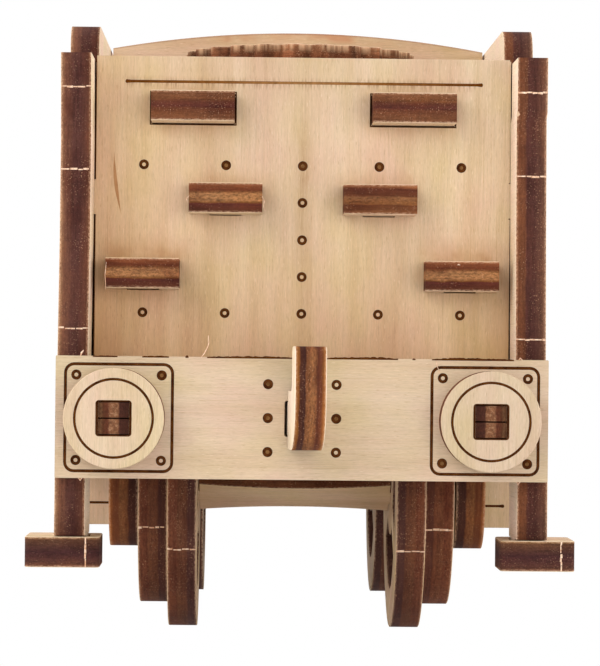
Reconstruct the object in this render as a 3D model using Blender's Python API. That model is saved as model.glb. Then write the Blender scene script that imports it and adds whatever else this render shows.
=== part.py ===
"""Laser-cut plywood model box car, open-topped, two axles, built from flat plates."""
import math

import bpy

MM = 0.001

# Sheet and fits
PLY = 3.0 * MM
FIT = 0.1 * MM
SEAT = 0.1 * MM
RUN = 0.09 * MM

# Body box
BODY_HALF_WIDTH = 23.9 * MM
BODY_HALF_LENGTH = 50.15 * MM
WALL_INNER = BODY_HALF_WIDTH - PLY
WALL_BOTTOM = 16.9 * MM
DECK_UNDER = 52.05 * MM
PANEL_COVER = 3.7 * MM
PANEL_TOP = DECK_UNDER + PLY + PANEL_COVER
POST_SHORT = 0.35 * MM
POST_TOP = PANEL_TOP - POST_SHORT
WALL_RISE = 4.6 * MM
WALL_TOP = POST_TOP + WALL_RISE
WALL_SET_BACK_NEAR = 16.4 * MM
WALL_SET_BACK_FAR = 3.4 * MM
WALL_RISE_NEAR = WALL_SET_BACK_NEAR - BODY_HALF_LENGTH
WALL_RISE_FAR = BODY_HALF_LENGTH - WALL_SET_BACK_FAR
WALL_RISE_RADIUS = 3.1 * MM
LEG_DEPTH = 6.6 * MM
LEG_BOTTOM = 10.9 * MM
LEG_FILLET = 2.0 * MM
LEG_TENON_INSET = 1.55 * MM
PANEL_SIDE_GAP = 0.15 * MM
TAB_SHORT = 0.1 * MM
TAB_REACH = BODY_HALF_WIDTH - TAB_SHORT
INNER_HALF = WALL_INNER - PANEL_SIDE_GAP

# End panels
PANEL_SET_BACK = 7.95 * MM
PANEL_PLANE = BODY_HALF_LENGTH - PANEL_SET_BACK
PANEL_BOTTOM = 28.5 * MM
PANEL_TAB_LOW = 42.8 * MM
PANEL_TAB_HIGH = 46.3 * MM
ARCH_STEP = 0.1 * MM
ARCH_RISE = 1.9 * MM
ARCH_SPRING = WALL_TOP + ARCH_STEP
ARCH_CROWN = ARCH_SPRING + ARCH_RISE
ARCH_SEGMENTS = 24

# Floor, deck and bulkhead
FLOOR_UNDER = 31.0 * MM
FLOOR_TAB_SET_BACK = 30.15 * MM
FLOOR_TAB_MIDDLE = BODY_HALF_LENGTH - FLOOR_TAB_SET_BACK
FLOOR_TAB_HALF = 5.9 * MM
DECK_TAB_SET_BACK = 24.15 * MM
DECK_TAB_MIDDLE = DECK_TAB_SET_BACK - BODY_HALF_LENGTH
DECK_TAB_HALF = 5.9 * MM
DECK_TENON_INSET = 5.55 * MM
DECK_TENON_WIDTH = 8.3 * MM
DECK_TENON_OUTER = INNER_HALF - DECK_TENON_INSET
DECK_TENON_INNER = DECK_TENON_OUTER - DECK_TENON_WIDTH
DECK_TENON_REACH = 3.7 * MM
DECK_REAR_TENON_HALF = 6.0 * MM
BULKHEAD_SET_BACK = 44.2 * MM
BULKHEAD_PLANE = BULKHEAD_SET_BACK - BODY_HALF_LENGTH
BULKHEAD_TAB_LOW = 43.1 * MM
BULKHEAD_TAB_HIGH = 48.9 * MM
BULKHEAD_FOOT_INNER = 6.1 * MM
BULKHEAD_FOOT_OUTER = 11.9 * MM

# Panel steps
STEP_HALF_WIDTH = 3.65 * MM
STEP_REACH = 3.8 * MM
STEP_TENON_HALF = 1.5 * MM
STEP_MID_X = 7.7 * MM
STEP_MID_UNDER = 42.9 * MM
STEP_LOW_INSET = 4.85 * MM
STEP_LOW_X = INNER_HALF - STEP_LOW_INSET
STEP_LOW_UNDER = 35.35 * MM

# Running gear, set in from the walls
FRAME_WALL_GAP = 1.2 * MM
FRAME_OUTER = WALL_INNER - FRAME_WALL_GAP
FRAME_INNER = FRAME_OUTER - PLY
FRAME_MIDDLE = FRAME_INNER + PLY / 2
WHEEL_SIDE_GAP = 0.45 * MM
FLANGE_INNER = FRAME_INNER - WHEEL_SIDE_GAP - 2 * PLY - SEAT / 2
FLANGE_RADIUS = 15.0 * MM
TREAD_RADIUS = 12.5 * MM
AXLE_HEIGHT = FLANGE_RADIUS
AXLE_SET_BACK = 25.5 * MM
AXLE_PLACE = BODY_HALF_LENGTH - AXLE_SET_BACK
AXLE_REST_TURN = math.radians(-26.0)
AXLE_SIDE_REST = -0.2 * MM
AXLE_WIDE = 6.6 * MM
AXLE_WAIST = 4.7 * MM
AXLE_WAIST_SEGMENTS = 7
SPOKE_WIDTH = 2.3 * MM
SPOKE_IN = 5.2 * MM
SPOKE_OUT = 10.9 * MM
SPOKES = 3
DISC_SEGMENTS = 60
OPENING_SEGMENTS = 14
FLANGE_MID = FLANGE_INNER + PLY / 2
TREAD_MID = FLANGE_MID + PLY + SEAT / 2

# Side frames
FRAME_UNDER = 18.3 * MM
FRAME_END_TOP = 28.4 * MM
FRAME_TOP = 30.9 * MM
FRAME_STEP_GAP = 0.2 * MM
FRAME_STEP = PANEL_PLANE - PLY / 2 - FRAME_STEP_GAP
PEDESTAL_RADIUS = 6.6 * MM
PEDESTAL_FILLET = 1.5 * MM
PEDESTAL_SEGMENTS = 24
AXLE_END_SHORT = 0.2 * MM
BEARING_RADIUS = PLY / math.sqrt(2.0) + RUN
BEARING_SEGMENTS = 36
FRAME_TENON_HEIGHT = 3.05 * MM
FRAME_TENON_SPLIT = 0.14 * MM
FRAME_SPLIT_START = 0.85 * MM
FRAME_TENON_SPLIT_END = BODY_HALF_LENGTH + FRAME_SPLIT_START

# Cross bearer
BEARER_BOTTOM = 9.65 * MM
BEARER_LEG_INSIDE = 1.3 * MM
BEARER_LEG_INNER = FRAME_INNER - BEARER_LEG_INSIDE
BEARER_ARCH = 20.3 * MM
BEARER_FILLET = 2.0 * MM
BEARER_EAR_TOP = 20.9 * MM
BEARER_LIP = 0.5 * MM
HALVING_HEIGHT = 24.6 * MM

# Beams and buffers
BEAM_OVERHANG = 0.1 * MM
BEAM_HALF_WIDTH = BODY_HALF_WIDTH + BEAM_OVERHANG
BEAM_BOTTOM = 16.7 * MM
BEAM_TOP = 28.6 * MM
BEAM_PLANE = BODY_HALF_LENGTH + SEAT + PLY / 2
BUFFER_HEIGHT = 22.6 * MM
BUFFER_RADIUS = 4.875 * MM
BUFFER_SEGMENTS = 48
BUFFER_PLANE = BEAM_PLANE + PLY + SEAT
TENON_SHORT = 0.15 * MM
FRAME_TENON_END = BUFFER_PLANE + PLY / 2 - TENON_SHORT
CORNER_ROUND = 0.1 * MM
HOLE_ROUND = 0.25 * MM

# Hooks
HOOK_REST_YAW = math.radians(3.5)
HOOK_SLOT_HALF = 1.72 * MM
HOOK_SLOT_LOW = 20.9 * MM
HOOK_SLOT_HIGH = 24.4 * MM
HOOK_SHOULDER_GAP = 0.2 * MM
HOOK_REACH = 9.0 * MM
HOOK_BOTTOM = 19.72 * MM
HOOK_SHANK_TOP = 25.4 * MM
HOOK_TIP = 29.7 * MM
HOOK_NOSE = 3.9 * MM
HOOK_CHIN_RADIUS = 5.0 * MM
HOOK_TIP_RADIUS = 0.8 * MM
HOOK_THROAT_RADIUS = 1.2 * MM
HOOK_NECK_CUT = 0.6 * MM
HOOK_TAIL = 2.2 * MM
KEY_GAP = 0.6 * MM
KEY_HALF = 4.45 * MM

# Corner footsteps
FOOT_UNDER = 7.8 * MM
FOOT_INSIDE = 1.2 * MM
FOOT_OUTSIDE = 3.15 * MM
FOOT_INNER = WALL_INNER - FOOT_INSIDE
FOOT_OUTER = BODY_HALF_WIDTH + FOOT_OUTSIDE
FOOT_DEPTH = 7.1 * MM
FOOT_PROUD = 0.25 * MM
FOOT_FRONT = BODY_HALF_LENGTH + FOOT_PROUD
FOOT_ROUND = 0.6 * MM

# Filler cap
CAP_SET_BACK = 30.0 * MM
CAP_PLACE = CAP_SET_BACK - BODY_HALF_LENGTH
CAP_RADIUS = 12.3 * MM
CAP_SCALLOPS = 24
CAP_SCALLOP_DEPTH = 0.9 * MM
CAP_POINTS_PER_SCALLOP = 7
CAP_REST_TURN = math.radians(3.5)
NECK_RADIUS = 9.0 * MM
NECK_SEGMENTS = 48
PIN_HEAD_HALF = 3.5 * MM
PIN_TOP_SHORT = 0.1 * MM

for old in list(bpy.data.objects):
    bpy.data.objects.remove(old, do_unlink=True)

VENEER = (0.68, 0.46, 0.26)
PALE = (0.78, 0.58, 0.38)
TAN = (0.60, 0.40, 0.22)
DARK = (0.24, 0.13, 0.07)


def material(name, colour):
    """A wood material of its own for one piece."""
    made = bpy.data.materials.new(name + "_wood")
    made.use_nodes = True
    shader = made.node_tree.nodes["Principled BSDF"]
    shader.inputs["Base Color"].default_value = (colour[0], colour[1], colour[2], 1.0)
    shader.inputs["Roughness"].default_value = 0.7
    return made


def plate(name, loops, turn, place, colour, parent=None):
    """A flat ply plate from an outline and its openings."""
    curve = bpy.data.curves.new(name, "CURVE")
    curve.dimensions = "2D"
    curve.fill_mode = "BOTH"
    curve.extrude = PLY / 2
    for loop in loops:
        spline = curve.splines.new("POLY")
        spline.points.add(len(loop) - 1)
        for point, (u, v) in zip(spline.points, loop):
            point.co = (u, v, 0.0, 1.0)
        spline.use_cyclic_u = True
    made = bpy.data.objects.new(name, curve)
    made.rotation_euler = turn
    made.location = place
    curve.materials.append(material(name, colour))
    bpy.context.scene.collection.objects.link(made)
    if parent is not None:
        made.parent = parent
    return made


def pivot(name, place, turn):
    """An empty standing on a joint axis."""
    made = bpy.data.objects.new(name, None)
    made.empty_display_size = PLY
    made.location = place
    made.rotation_euler = turn
    bpy.context.scene.collection.objects.link(made)
    return made


QUARTER = math.pi / 2
ACROSS = (QUARTER, 0.0, 0.0)
ALONG = (QUARTER, 0.0, QUARTER)
LEVEL = (0.0, 0.0, 0.0)


def arc(cu, cv, radius, start, end, segments):
    """Points on an arc, both ends kept; angles in degrees."""
    points = []
    for i in range(segments + 1):
        angle = math.radians(start + (end - start) * i / segments)
        points.append((cu + radius * math.cos(angle), cv + radius * math.sin(angle)))
    return points


def circle(cu, cv, radius, segments):
    """A closed ring of points."""
    return arc(cu, cv, radius, 0.0, 360.0, segments)[:-1]


def rect(u0, v0, u1, v1):
    """A plain rectangle."""
    return [(u0, v0), (u1, v0), (u1, v1), (u0, v1)]


def round_rect(u0, v0, u1, v1, radius, segments=4):
    """A rectangle with rounded corners."""
    return (arc(u0 + radius, v0 + radius, radius, 180.0, 270.0, segments)
            + arc(u1 - radius, v0 + radius, radius, 270.0, 360.0, segments)
            + arc(u1 - radius, v1 - radius, radius, 0.0, 90.0, segments)
            + arc(u0 + radius, v1 - radius, radius, 90.0, 180.0, segments))


def flipped(points):
    """The same points mirrored in u and put in the opposite order."""
    return [(-u, v) for u, v in reversed(points)]


def arch_top(half, spring, crown):
    """A shallow arch from +half to -half."""
    rise = crown - spring
    radius = (half * half + rise * rise) / (2 * rise)
    points = []
    for i in range(ARCH_SEGMENTS + 1):
        u = half - 2 * half * i / ARCH_SEGMENTS
        points.append((u, crown - radius + math.sqrt(radius * radius - u * u)))
    return points


# Side walls: the corner post and its leg are part of the wall plate
leg_in = BODY_HALF_LENGTH - LEG_DEPTH
tenon_out = BODY_HALF_LENGTH - LEG_TENON_INSET
tenon_in = leg_in + LEG_TENON_INSET
notch_near = BULKHEAD_PLANE - PLY / 2 - FIT
notch_far = BULKHEAD_PLANE + PLY / 2 + FIT
near_leg = [
    (-BODY_HALF_LENGTH, LEG_BOTTOM),
    (-tenon_out, LEG_BOTTOM),
    (-tenon_out, FOOT_UNDER + TAB_SHORT),
    (-tenon_in, FOOT_UNDER + TAB_SHORT),
    (-tenon_in, LEG_BOTTOM),
    (-leg_in, LEG_BOTTOM),
] + arc(-leg_in + LEG_FILLET, WALL_BOTTOM - LEG_FILLET, LEG_FILLET, 180.0, 90.0, 6)
wall_notch = [
    (notch_near, WALL_BOTTOM),
    (notch_near, BEARER_EAR_TOP + FIT),
    (notch_far, BEARER_EAR_TOP + FIT),
    (notch_far, WALL_BOTTOM),
]
near_rise = arc(WALL_RISE_NEAR + WALL_RISE_RADIUS, WALL_TOP - WALL_RISE_RADIUS,
                WALL_RISE_RADIUS, 90.0, 180.0, 8)
far_rise = arc(WALL_RISE_FAR - WALL_RISE_RADIUS, WALL_TOP - WALL_RISE_RADIUS,
               WALL_RISE_RADIUS, 0.0, 90.0, 8)
wall_outline = (near_leg + wall_notch + flipped(near_leg)
                + [(BODY_HALF_LENGTH, POST_TOP), (WALL_RISE_FAR, POST_TOP)]
                + far_rise + near_rise
                + [(WALL_RISE_NEAR, POST_TOP), (-BODY_HALF_LENGTH, POST_TOP)])


def tab_slot(middle, half, low, high):
    """A wall slot with the fit all round."""
    return rect(middle - half - FIT, low - FIT, middle + half + FIT, high + FIT)


wall_slots = [
    tab_slot(-PANEL_PLANE, PLY / 2, PANEL_TAB_LOW, PANEL_TAB_HIGH),
    tab_slot(PANEL_PLANE, PLY / 2, PANEL_TAB_LOW, PANEL_TAB_HIGH),
    tab_slot(-FLOOR_TAB_MIDDLE, FLOOR_TAB_HALF, FLOOR_UNDER, FLOOR_UNDER + PLY),
    tab_slot(FLOOR_TAB_MIDDLE, FLOOR_TAB_HALF, FLOOR_UNDER, FLOOR_UNDER + PLY),
    tab_slot(DECK_TAB_MIDDLE, DECK_TAB_HALF, DECK_UNDER, DECK_UNDER + PLY),
    tab_slot(BULKHEAD_PLANE, PLY / 2, BULKHEAD_TAB_LOW, BULKHEAD_TAB_HIGH),
]
SIDES = (("left", -1.0), ("right", 1.0))
ENDS = (("near", -1.0), ("far", 1.0))
for side, sign in SIDES:
    plate("side_wall_" + side, [wall_outline] + wall_slots, ALONG,
          (sign * (BODY_HALF_WIDTH - PLY / 2), 0.0, 0.0), VENEER)

# End panels between the walls, tabbed through them
panel_side = [
    (INNER_HALF, PANEL_BOTTOM),
    (INNER_HALF, PANEL_TAB_LOW),
    (TAB_REACH, PANEL_TAB_LOW),
    (TAB_REACH, PANEL_TAB_HIGH),
    (INNER_HALF, PANEL_TAB_HIGH),
]
near_top = [(INNER_HALF, PANEL_TOP), (-INNER_HALF, PANEL_TOP)]
panel_slots = []
for _, sign in SIDES:
    deck_u = sorted((sign * DECK_TENON_INNER, sign * DECK_TENON_OUTER))
    panel_slots.append(round_rect(deck_u[0] - FIT, DECK_UNDER - FIT, deck_u[1] + FIT,
                                  DECK_UNDER + PLY + FIT, HOLE_ROUND))
    for step_x, step_z in ((STEP_MID_X, STEP_MID_UNDER), (STEP_LOW_X, STEP_LOW_UNDER)):
        panel_slots.append(rect(sign * step_x - STEP_TENON_HALF - FIT, step_z - FIT,
                                sign * step_x + STEP_TENON_HALF + FIT, step_z + PLY + FIT))
plate("end_panel_near", [panel_side + near_top + flipped(panel_side)] + panel_slots, ACROSS,
      (0.0, -PANEL_PLANE, 0.0), VENEER)
far_top = arch_top(INNER_HALF, ARCH_SPRING, ARCH_CROWN)
plate("end_panel_far", [panel_side + far_top + flipped(panel_side)], ACROSS,
      (0.0, PANEL_PLANE, 0.0), VENEER)

# Panel steps, each a short tee held by its tenon
panel_face = -PANEL_PLANE - PLY / 2
panel_back = -PANEL_PLANE + PLY / 2
step_outline = [
    (-STEP_HALF_WIDTH, panel_face - STEP_REACH - SEAT),
    (STEP_HALF_WIDTH, panel_face - STEP_REACH - SEAT),
    (STEP_HALF_WIDTH, panel_face - SEAT),
    (STEP_TENON_HALF, panel_face - SEAT),
    (STEP_TENON_HALF, panel_back - TAB_SHORT),
    (-STEP_TENON_HALF, panel_back - TAB_SHORT),
    (-STEP_TENON_HALF, panel_face - SEAT),
    (-STEP_HALF_WIDTH, panel_face - SEAT),
]
for side, sign in SIDES:
    plate("step_mid_" + side, [step_outline], LEVEL,
          (sign * STEP_MID_X, 0.0, STEP_MID_UNDER + PLY / 2), DARK)
    plate("step_low_" + side, [step_outline], LEVEL,
          (sign * STEP_LOW_X, 0.0, STEP_LOW_UNDER + PLY / 2), DARK)

# Floor
floor_end = PANEL_PLANE - PLY / 2 - SEAT
floor_right = []
for middle in (-FLOOR_TAB_MIDDLE, FLOOR_TAB_MIDDLE):
    floor_right += [
        (INNER_HALF, middle - FLOOR_TAB_HALF),
        (TAB_REACH, middle - FLOOR_TAB_HALF),
        (TAB_REACH, middle + FLOOR_TAB_HALF),
        (INNER_HALF, middle + FLOOR_TAB_HALF),
    ]
floor_outline = ([(-INNER_HALF, -floor_end), (INNER_HALF, -floor_end)] + floor_right
                 + [(INNER_HALF, floor_end), (-INNER_HALF, floor_end)] + flipped(floor_right))
foot_slots = []
for _, sign in SIDES:
    slot_u = sorted((sign * BULKHEAD_FOOT_INNER, sign * BULKHEAD_FOOT_OUTER))
    foot_slots.append(rect(slot_u[0] - FIT, notch_near, slot_u[1] + FIT, notch_far))
plate("floor", [floor_outline] + foot_slots, LEVEL, (0.0, 0.0, FLOOR_UNDER + PLY / 2), TAN)

# Deck with two front tenons that show through the end panel
deck_near = panel_back + SEAT
deck_far = BULKHEAD_PLANE - PLY / 2 - SEAT
deck_tip = panel_face - DECK_TENON_REACH
bulk_back = BULKHEAD_PLANE + PLY / 2 - TAB_SHORT
deck_side = [
    (INNER_HALF, deck_near),
    (INNER_HALF, DECK_TAB_MIDDLE - DECK_TAB_HALF),
    (TAB_REACH, DECK_TAB_MIDDLE - DECK_TAB_HALF),
    (TAB_REACH, DECK_TAB_MIDDLE + DECK_TAB_HALF),
    (INNER_HALF, DECK_TAB_MIDDLE + DECK_TAB_HALF),
    (INNER_HALF, deck_far),
    (DECK_REAR_TENON_HALF, deck_far),
    (DECK_REAR_TENON_HALF, bulk_back),
]
deck_tenon = [
    (DECK_TENON_INNER, deck_near),
    (DECK_TENON_INNER, deck_tip),
    (DECK_TENON_OUTER, deck_tip),
    (DECK_TENON_OUTER, deck_near),
]
deck_outline = flipped(deck_tenon) + deck_tenon + deck_side + flipped(deck_side)
pin_hole = circle(0.0, CAP_PLACE, BEARING_RADIUS, BEARING_SEGMENTS)
plate("deck", [deck_outline, pin_hole], LEVEL, (0.0, 0.0, DECK_UNDER + PLY / 2), TAN)

# Arched bulkhead standing on the floor
bulk_bottom = FLOOR_UNDER + PLY + SEAT
bulk_side = [
    (BULKHEAD_FOOT_INNER, bulk_bottom),
    (BULKHEAD_FOOT_INNER, FLOOR_UNDER + TAB_SHORT),
    (BULKHEAD_FOOT_OUTER, FLOOR_UNDER + TAB_SHORT),
    (BULKHEAD_FOOT_OUTER, bulk_bottom),
    (INNER_HALF, bulk_bottom),
    (INNER_HALF, BULKHEAD_TAB_LOW),
    (TAB_REACH, BULKHEAD_TAB_LOW),
    (TAB_REACH, BULKHEAD_TAB_HIGH),
    (INNER_HALF, BULKHEAD_TAB_HIGH),
]
deck_slot = rect(-DECK_REAR_TENON_HALF - FIT, DECK_UNDER - FIT,
                 DECK_REAR_TENON_HALF + FIT, DECK_UNDER + PLY + FIT)
plate("bulkhead", [bulk_side + far_top + flipped(bulk_side), deck_slot], ACROSS,
      (0.0, BULKHEAD_PLANE, 0.0), VENEER)

# Cross bearer, halved over the side frames
bearer_lip = BODY_HALF_WIDTH + BEARER_LIP
bearer_half = [
    (BEARER_LEG_INNER, BEARER_BOTTOM),
    (bearer_lip, BEARER_BOTTOM),
    (bearer_lip, WALL_BOTTOM - SEAT),
    (BODY_HALF_WIDTH, WALL_BOTTOM - SEAT),
    (BODY_HALF_WIDTH, BEARER_EAR_TOP),
    (INNER_HALF, BEARER_EAR_TOP),
    (INNER_HALF, FRAME_TOP),
    (FRAME_OUTER + FIT, FRAME_TOP),
    (FRAME_OUTER + FIT, HALVING_HEIGHT - FIT),
    (FRAME_INNER - FIT, HALVING_HEIGHT - FIT),
    (FRAME_INNER - FIT, FRAME_TOP),
]
bearer_arch = arc(BEARER_LEG_INNER - BEARER_FILLET, BEARER_ARCH - BEARER_FILLET,
                  BEARER_FILLET, 90.0, 0.0, 6)
bearer_right = bearer_arch + bearer_half
plate("cross_bearer", [bearer_right + flipped(bearer_right)], ACROSS,
      (0.0, BULKHEAD_PLANE, 0.0), VENEER)

# Side frames with round pedestals and split end tenons
frame_shoulder = BODY_HALF_LENGTH
tenon_low = BUFFER_HEIGHT - FRAME_TENON_HEIGHT / 2
tenon_high = BUFFER_HEIGHT + FRAME_TENON_HEIGHT / 2
split_low = BUFFER_HEIGHT - FRAME_TENON_SPLIT / 2
split_high = BUFFER_HEIGHT + FRAME_TENON_SPLIT / 2
frame_tip = [
    (-FRAME_STEP, FRAME_TOP),
    (-FRAME_STEP, FRAME_END_TOP),
    (-frame_shoulder, FRAME_END_TOP),
    (-frame_shoulder, tenon_high),
    (-FRAME_TENON_END, tenon_high),
    (-FRAME_TENON_END, split_high),
    (-FRAME_TENON_SPLIT_END, split_high),
    (-FRAME_TENON_SPLIT_END, split_low),
    (-FRAME_TENON_END, split_low),
    (-FRAME_TENON_END, tenon_low),
    (-frame_shoulder, tenon_low),
    (-frame_shoulder, FRAME_UNDER),
]
ped_near = -AXLE_PLACE - PEDESTAL_RADIUS
ped_far = -AXLE_PLACE + PEDESTAL_RADIUS
pedestal = (arc(ped_near - PEDESTAL_FILLET, FRAME_UNDER - PEDESTAL_FILLET, PEDESTAL_FILLET,
                90.0, 0.0, 4)
            + arc(-AXLE_PLACE, AXLE_HEIGHT, PEDESTAL_RADIUS, 180.0, 360.0, PEDESTAL_SEGMENTS)
            + arc(ped_far + PEDESTAL_FILLET, FRAME_UNDER - PEDESTAL_FILLET, PEDESTAL_FILLET,
                  180.0, 90.0, 4))
frame_notch = [
    (notch_near, FRAME_UNDER),
    (notch_near, HALVING_HEIGHT + FIT),
    (notch_far, HALVING_HEIGHT + FIT),
    (notch_far, FRAME_UNDER),
]
frame_outline = (frame_tip + pedestal + frame_notch + flipped(pedestal)
                 + flipped(frame_tip))
bearings = [circle(sign * AXLE_PLACE, AXLE_HEIGHT, BEARING_RADIUS, BEARING_SEGMENTS)
            for _, sign in ENDS]
for side, sign in SIDES:
    plate("side_frame_" + side, [frame_outline] + bearings, ALONG,
          (sign * FRAME_MIDDLE, 0.0, 0.0), TAN)

# Buffer beams, buffers and corner footsteps
tenon_hole = FRAME_TENON_HEIGHT / 2 + FIT
beam_loops = [
    round_rect(-BEAM_HALF_WIDTH, BEAM_BOTTOM, BEAM_HALF_WIDTH, BEAM_TOP, CORNER_ROUND),
    round_rect(-HOOK_SLOT_HALF, HOOK_SLOT_LOW, HOOK_SLOT_HALF, HOOK_SLOT_HIGH, HOLE_ROUND),
]
for _, sign in SIDES:
    beam_loops.append(round_rect(sign * FRAME_MIDDLE - tenon_hole, BUFFER_HEIGHT - tenon_hole,
                                 sign * FRAME_MIDDLE + tenon_hole, BUFFER_HEIGHT + tenon_hole,
                                 HOLE_ROUND))
buffer_loops = [
    circle(0.0, 0.0, BUFFER_RADIUS, BUFFER_SEGMENTS),
    round_rect(-tenon_hole, -tenon_hole, tenon_hole, tenon_hole, HOLE_ROUND),
]
for end, way in ENDS:
    plate("buffer_beam_" + end, beam_loops, ACROSS, (0.0, way * BEAM_PLANE, 0.0), PALE)
    for side, sign in SIDES:
        plate("buffer_" + end + "_" + side, buffer_loops, ACROSS,
              (sign * FRAME_MIDDLE, way * BUFFER_PLANE, BUFFER_HEIGHT), PALE)
        foot_u = sorted((sign * FOOT_INNER, sign * FOOT_OUTER))
        foot_v = sorted((way * FOOT_FRONT, way * (FOOT_FRONT - FOOT_DEPTH)))
        slot_u = sorted((sign * WALL_INNER, sign * BODY_HALF_WIDTH))
        slot_v = sorted((way * tenon_in, way * tenon_out))
        plate("footstep_" + end + "_" + side,
              [round_rect(foot_u[0], foot_v[0], foot_u[1], foot_v[1], FOOT_ROUND),
               rect(slot_u[0] - FIT, slot_v[0] - FIT, slot_u[1] + FIT, slot_v[1] + FIT)],
              LEVEL, (0.0, 0.0, FOOT_UNDER + PLY / 2), DARK)

# Wheelsets: a waisted ply axle with square ends and two discs a side
axle_square = PLY / 2
axle_tip = FRAME_OUTER - AXLE_END_SHORT
axle_shoulder = FLANGE_INNER - SEAT
axle_right = []
for i in range(1, AXLE_WAIST_SEGMENTS + 1):
    share = i / AXLE_WAIST_SEGMENTS
    swell = (AXLE_WIDE - AXLE_WAIST) / 2 * share * share
    axle_right.append((axle_shoulder * share, -AXLE_WAIST / 2 - swell))
axle_right += [(axle_shoulder, -axle_square), (axle_tip, -axle_square)]
axle_right = axle_right + [(u, -v) for u, v in reversed(axle_right)]
axle_outline = axle_right + flipped([(u, -v) for u, v in reversed(axle_right)])
square_hole = rect(-axle_square - FIT, -axle_square - FIT, axle_square + FIT, axle_square + FIT)


def spoke_opening(index):
    """One opening between two spokes."""
    middle = 360.0 / SPOKES * (index + 0.5)
    wide = 180.0 / SPOKES
    trim_out = math.degrees(math.asin(SPOKE_WIDTH / 2 / SPOKE_OUT))
    trim_in = math.degrees(math.asin(SPOKE_WIDTH / 2 / SPOKE_IN))
    outer = arc(0.0, 0.0, SPOKE_OUT, middle - wide + trim_out, middle + wide - trim_out,
                OPENING_SEGMENTS)
    inner = arc(0.0, 0.0, SPOKE_IN, middle + wide - trim_in, middle - wide + trim_in,
                OPENING_SEGMENTS // 2)
    return outer + inner


openings = [spoke_opening(i) for i in range(SPOKES)]
flange_loops = [circle(0.0, 0.0, FLANGE_RADIUS, DISC_SEGMENTS), square_hole] + openings
tread_loops = [circle(0.0, 0.0, TREAD_RADIUS, DISC_SEGMENTS), square_hole] + openings
for end, way in ENDS:
    hub = pivot("wheelset_" + end, (AXLE_SIDE_REST, way * AXLE_PLACE, AXLE_HEIGHT),
                (AXLE_REST_TURN, 0.0, 0.0))
    plate("axle_" + end, [axle_outline], LEVEL, (0.0, 0.0, 0.0), TAN, hub)
    for side, sign in SIDES:
        plate("flange_" + end + "_" + side, flange_loops, ALONG,
              (sign * FLANGE_MID, 0.0, 0.0), VENEER, hub)
        plate("tread_" + end + "_" + side, tread_loops, ALONG,
              (sign * TREAD_MID, 0.0, 0.0), VENEER, hub)

# Filler cap on its neck, turning with a tee-shaped pin
neck_middle = DECK_UNDER + PLY + SEAT + PLY / 2
cap_middle = neck_middle + PLY + 2 * SEAT
plate("cap_neck", [circle(0.0, CAP_PLACE, NECK_RADIUS, NECK_SEGMENTS), pin_hole], LEVEL,
      (0.0, 0.0, neck_middle), TAN)
cap_pivot = pivot("filler", (0.0, CAP_PLACE, cap_middle), (0.0, 0.0, CAP_REST_TURN))
cap_ring = []
cap_points = CAP_SCALLOPS * CAP_POINTS_PER_SCALLOP
for i in range(cap_points):
    angle = 2 * math.pi * i / cap_points
    bulge = abs(math.sin(angle * CAP_SCALLOPS / 2))
    radius = CAP_RADIUS - CAP_SCALLOP_DEPTH * (1.0 - bulge)
    cap_ring.append((radius * math.cos(angle), radius * math.sin(angle)))
plate("filler_cap", [cap_ring, square_hole], LEVEL, (0.0, 0.0, 0.0), DARK, cap_pivot)
pin_shoulder = DECK_UNDER - 2 * SEAT - cap_middle
pin_top = PLY / 2 - PIN_TOP_SHORT
pin_outline = [
    (-PIN_HEAD_HALF, pin_shoulder - PLY),
    (PIN_HEAD_HALF, pin_shoulder - PLY),
    (PIN_HEAD_HALF, pin_shoulder),
    (axle_square, pin_shoulder),
    (axle_square, pin_top),
    (-axle_square, pin_top),
    (-axle_square, pin_shoulder),
    (-PIN_HEAD_HALF, pin_shoulder),
]
plate("cap_pin", [pin_outline], ACROSS, (0.0, 0.0, 0.0), TAN, cap_pivot)

# Coupling hooks, loose in the beam slots and held by a key behind the beam
beam_half = PLY / 2
hook_back = -beam_half - HOOK_SHOULDER_GAP
hook_front = -beam_half - HOOK_REACH
nose_back = hook_front + HOOK_NOSE
hook_low = HOOK_SLOT_LOW + FIT
hook_high = HOOK_SLOT_HIGH - FIT
key_front = beam_half + KEY_GAP
neck_start = key_front - FIT
neck_end = key_front + PLY + FIT
hook_end = neck_end + HOOK_TAIL
hook_outline = [
    (hook_back, HOOK_SHANK_TOP),
    (hook_back, hook_high),
    (neck_start, hook_high),
    (neck_start, hook_high - HOOK_NECK_CUT),
    (neck_end, hook_high - HOOK_NECK_CUT),
    (neck_end, hook_high),
    (hook_end, hook_high),
    (hook_end, hook_low),
    (neck_end, hook_low),
    (neck_end, hook_low + HOOK_NECK_CUT),
    (neck_start, hook_low + HOOK_NECK_CUT),
    (neck_start, hook_low),
    (hook_back, hook_low),
    (hook_back, HOOK_BOTTOM),
]
hook_outline += arc(hook_front + HOOK_CHIN_RADIUS, HOOK_BOTTOM + HOOK_CHIN_RADIUS,
                    HOOK_CHIN_RADIUS, 270.0, 180.0, 10)
hook_outline += arc(hook_front + HOOK_TIP_RADIUS, HOOK_TIP - HOOK_TIP_RADIUS,
                    HOOK_TIP_RADIUS, 180.0, 90.0, 4)
hook_outline += arc(nose_back - HOOK_TIP_RADIUS, HOOK_TIP - HOOK_TIP_RADIUS,
                    HOOK_TIP_RADIUS, 90.0, 0.0, 4)
hook_outline += arc(nose_back + HOOK_THROAT_RADIUS, HOOK_SHANK_TOP + HOOK_THROAT_RADIUS,
                    HOOK_THROAT_RADIUS, 180.0, 270.0, 5)
key_middle = (hook_low + hook_high) / 2
key_slot = (hook_high - hook_low) / 2 - HOOK_NECK_CUT + FIT
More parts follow.
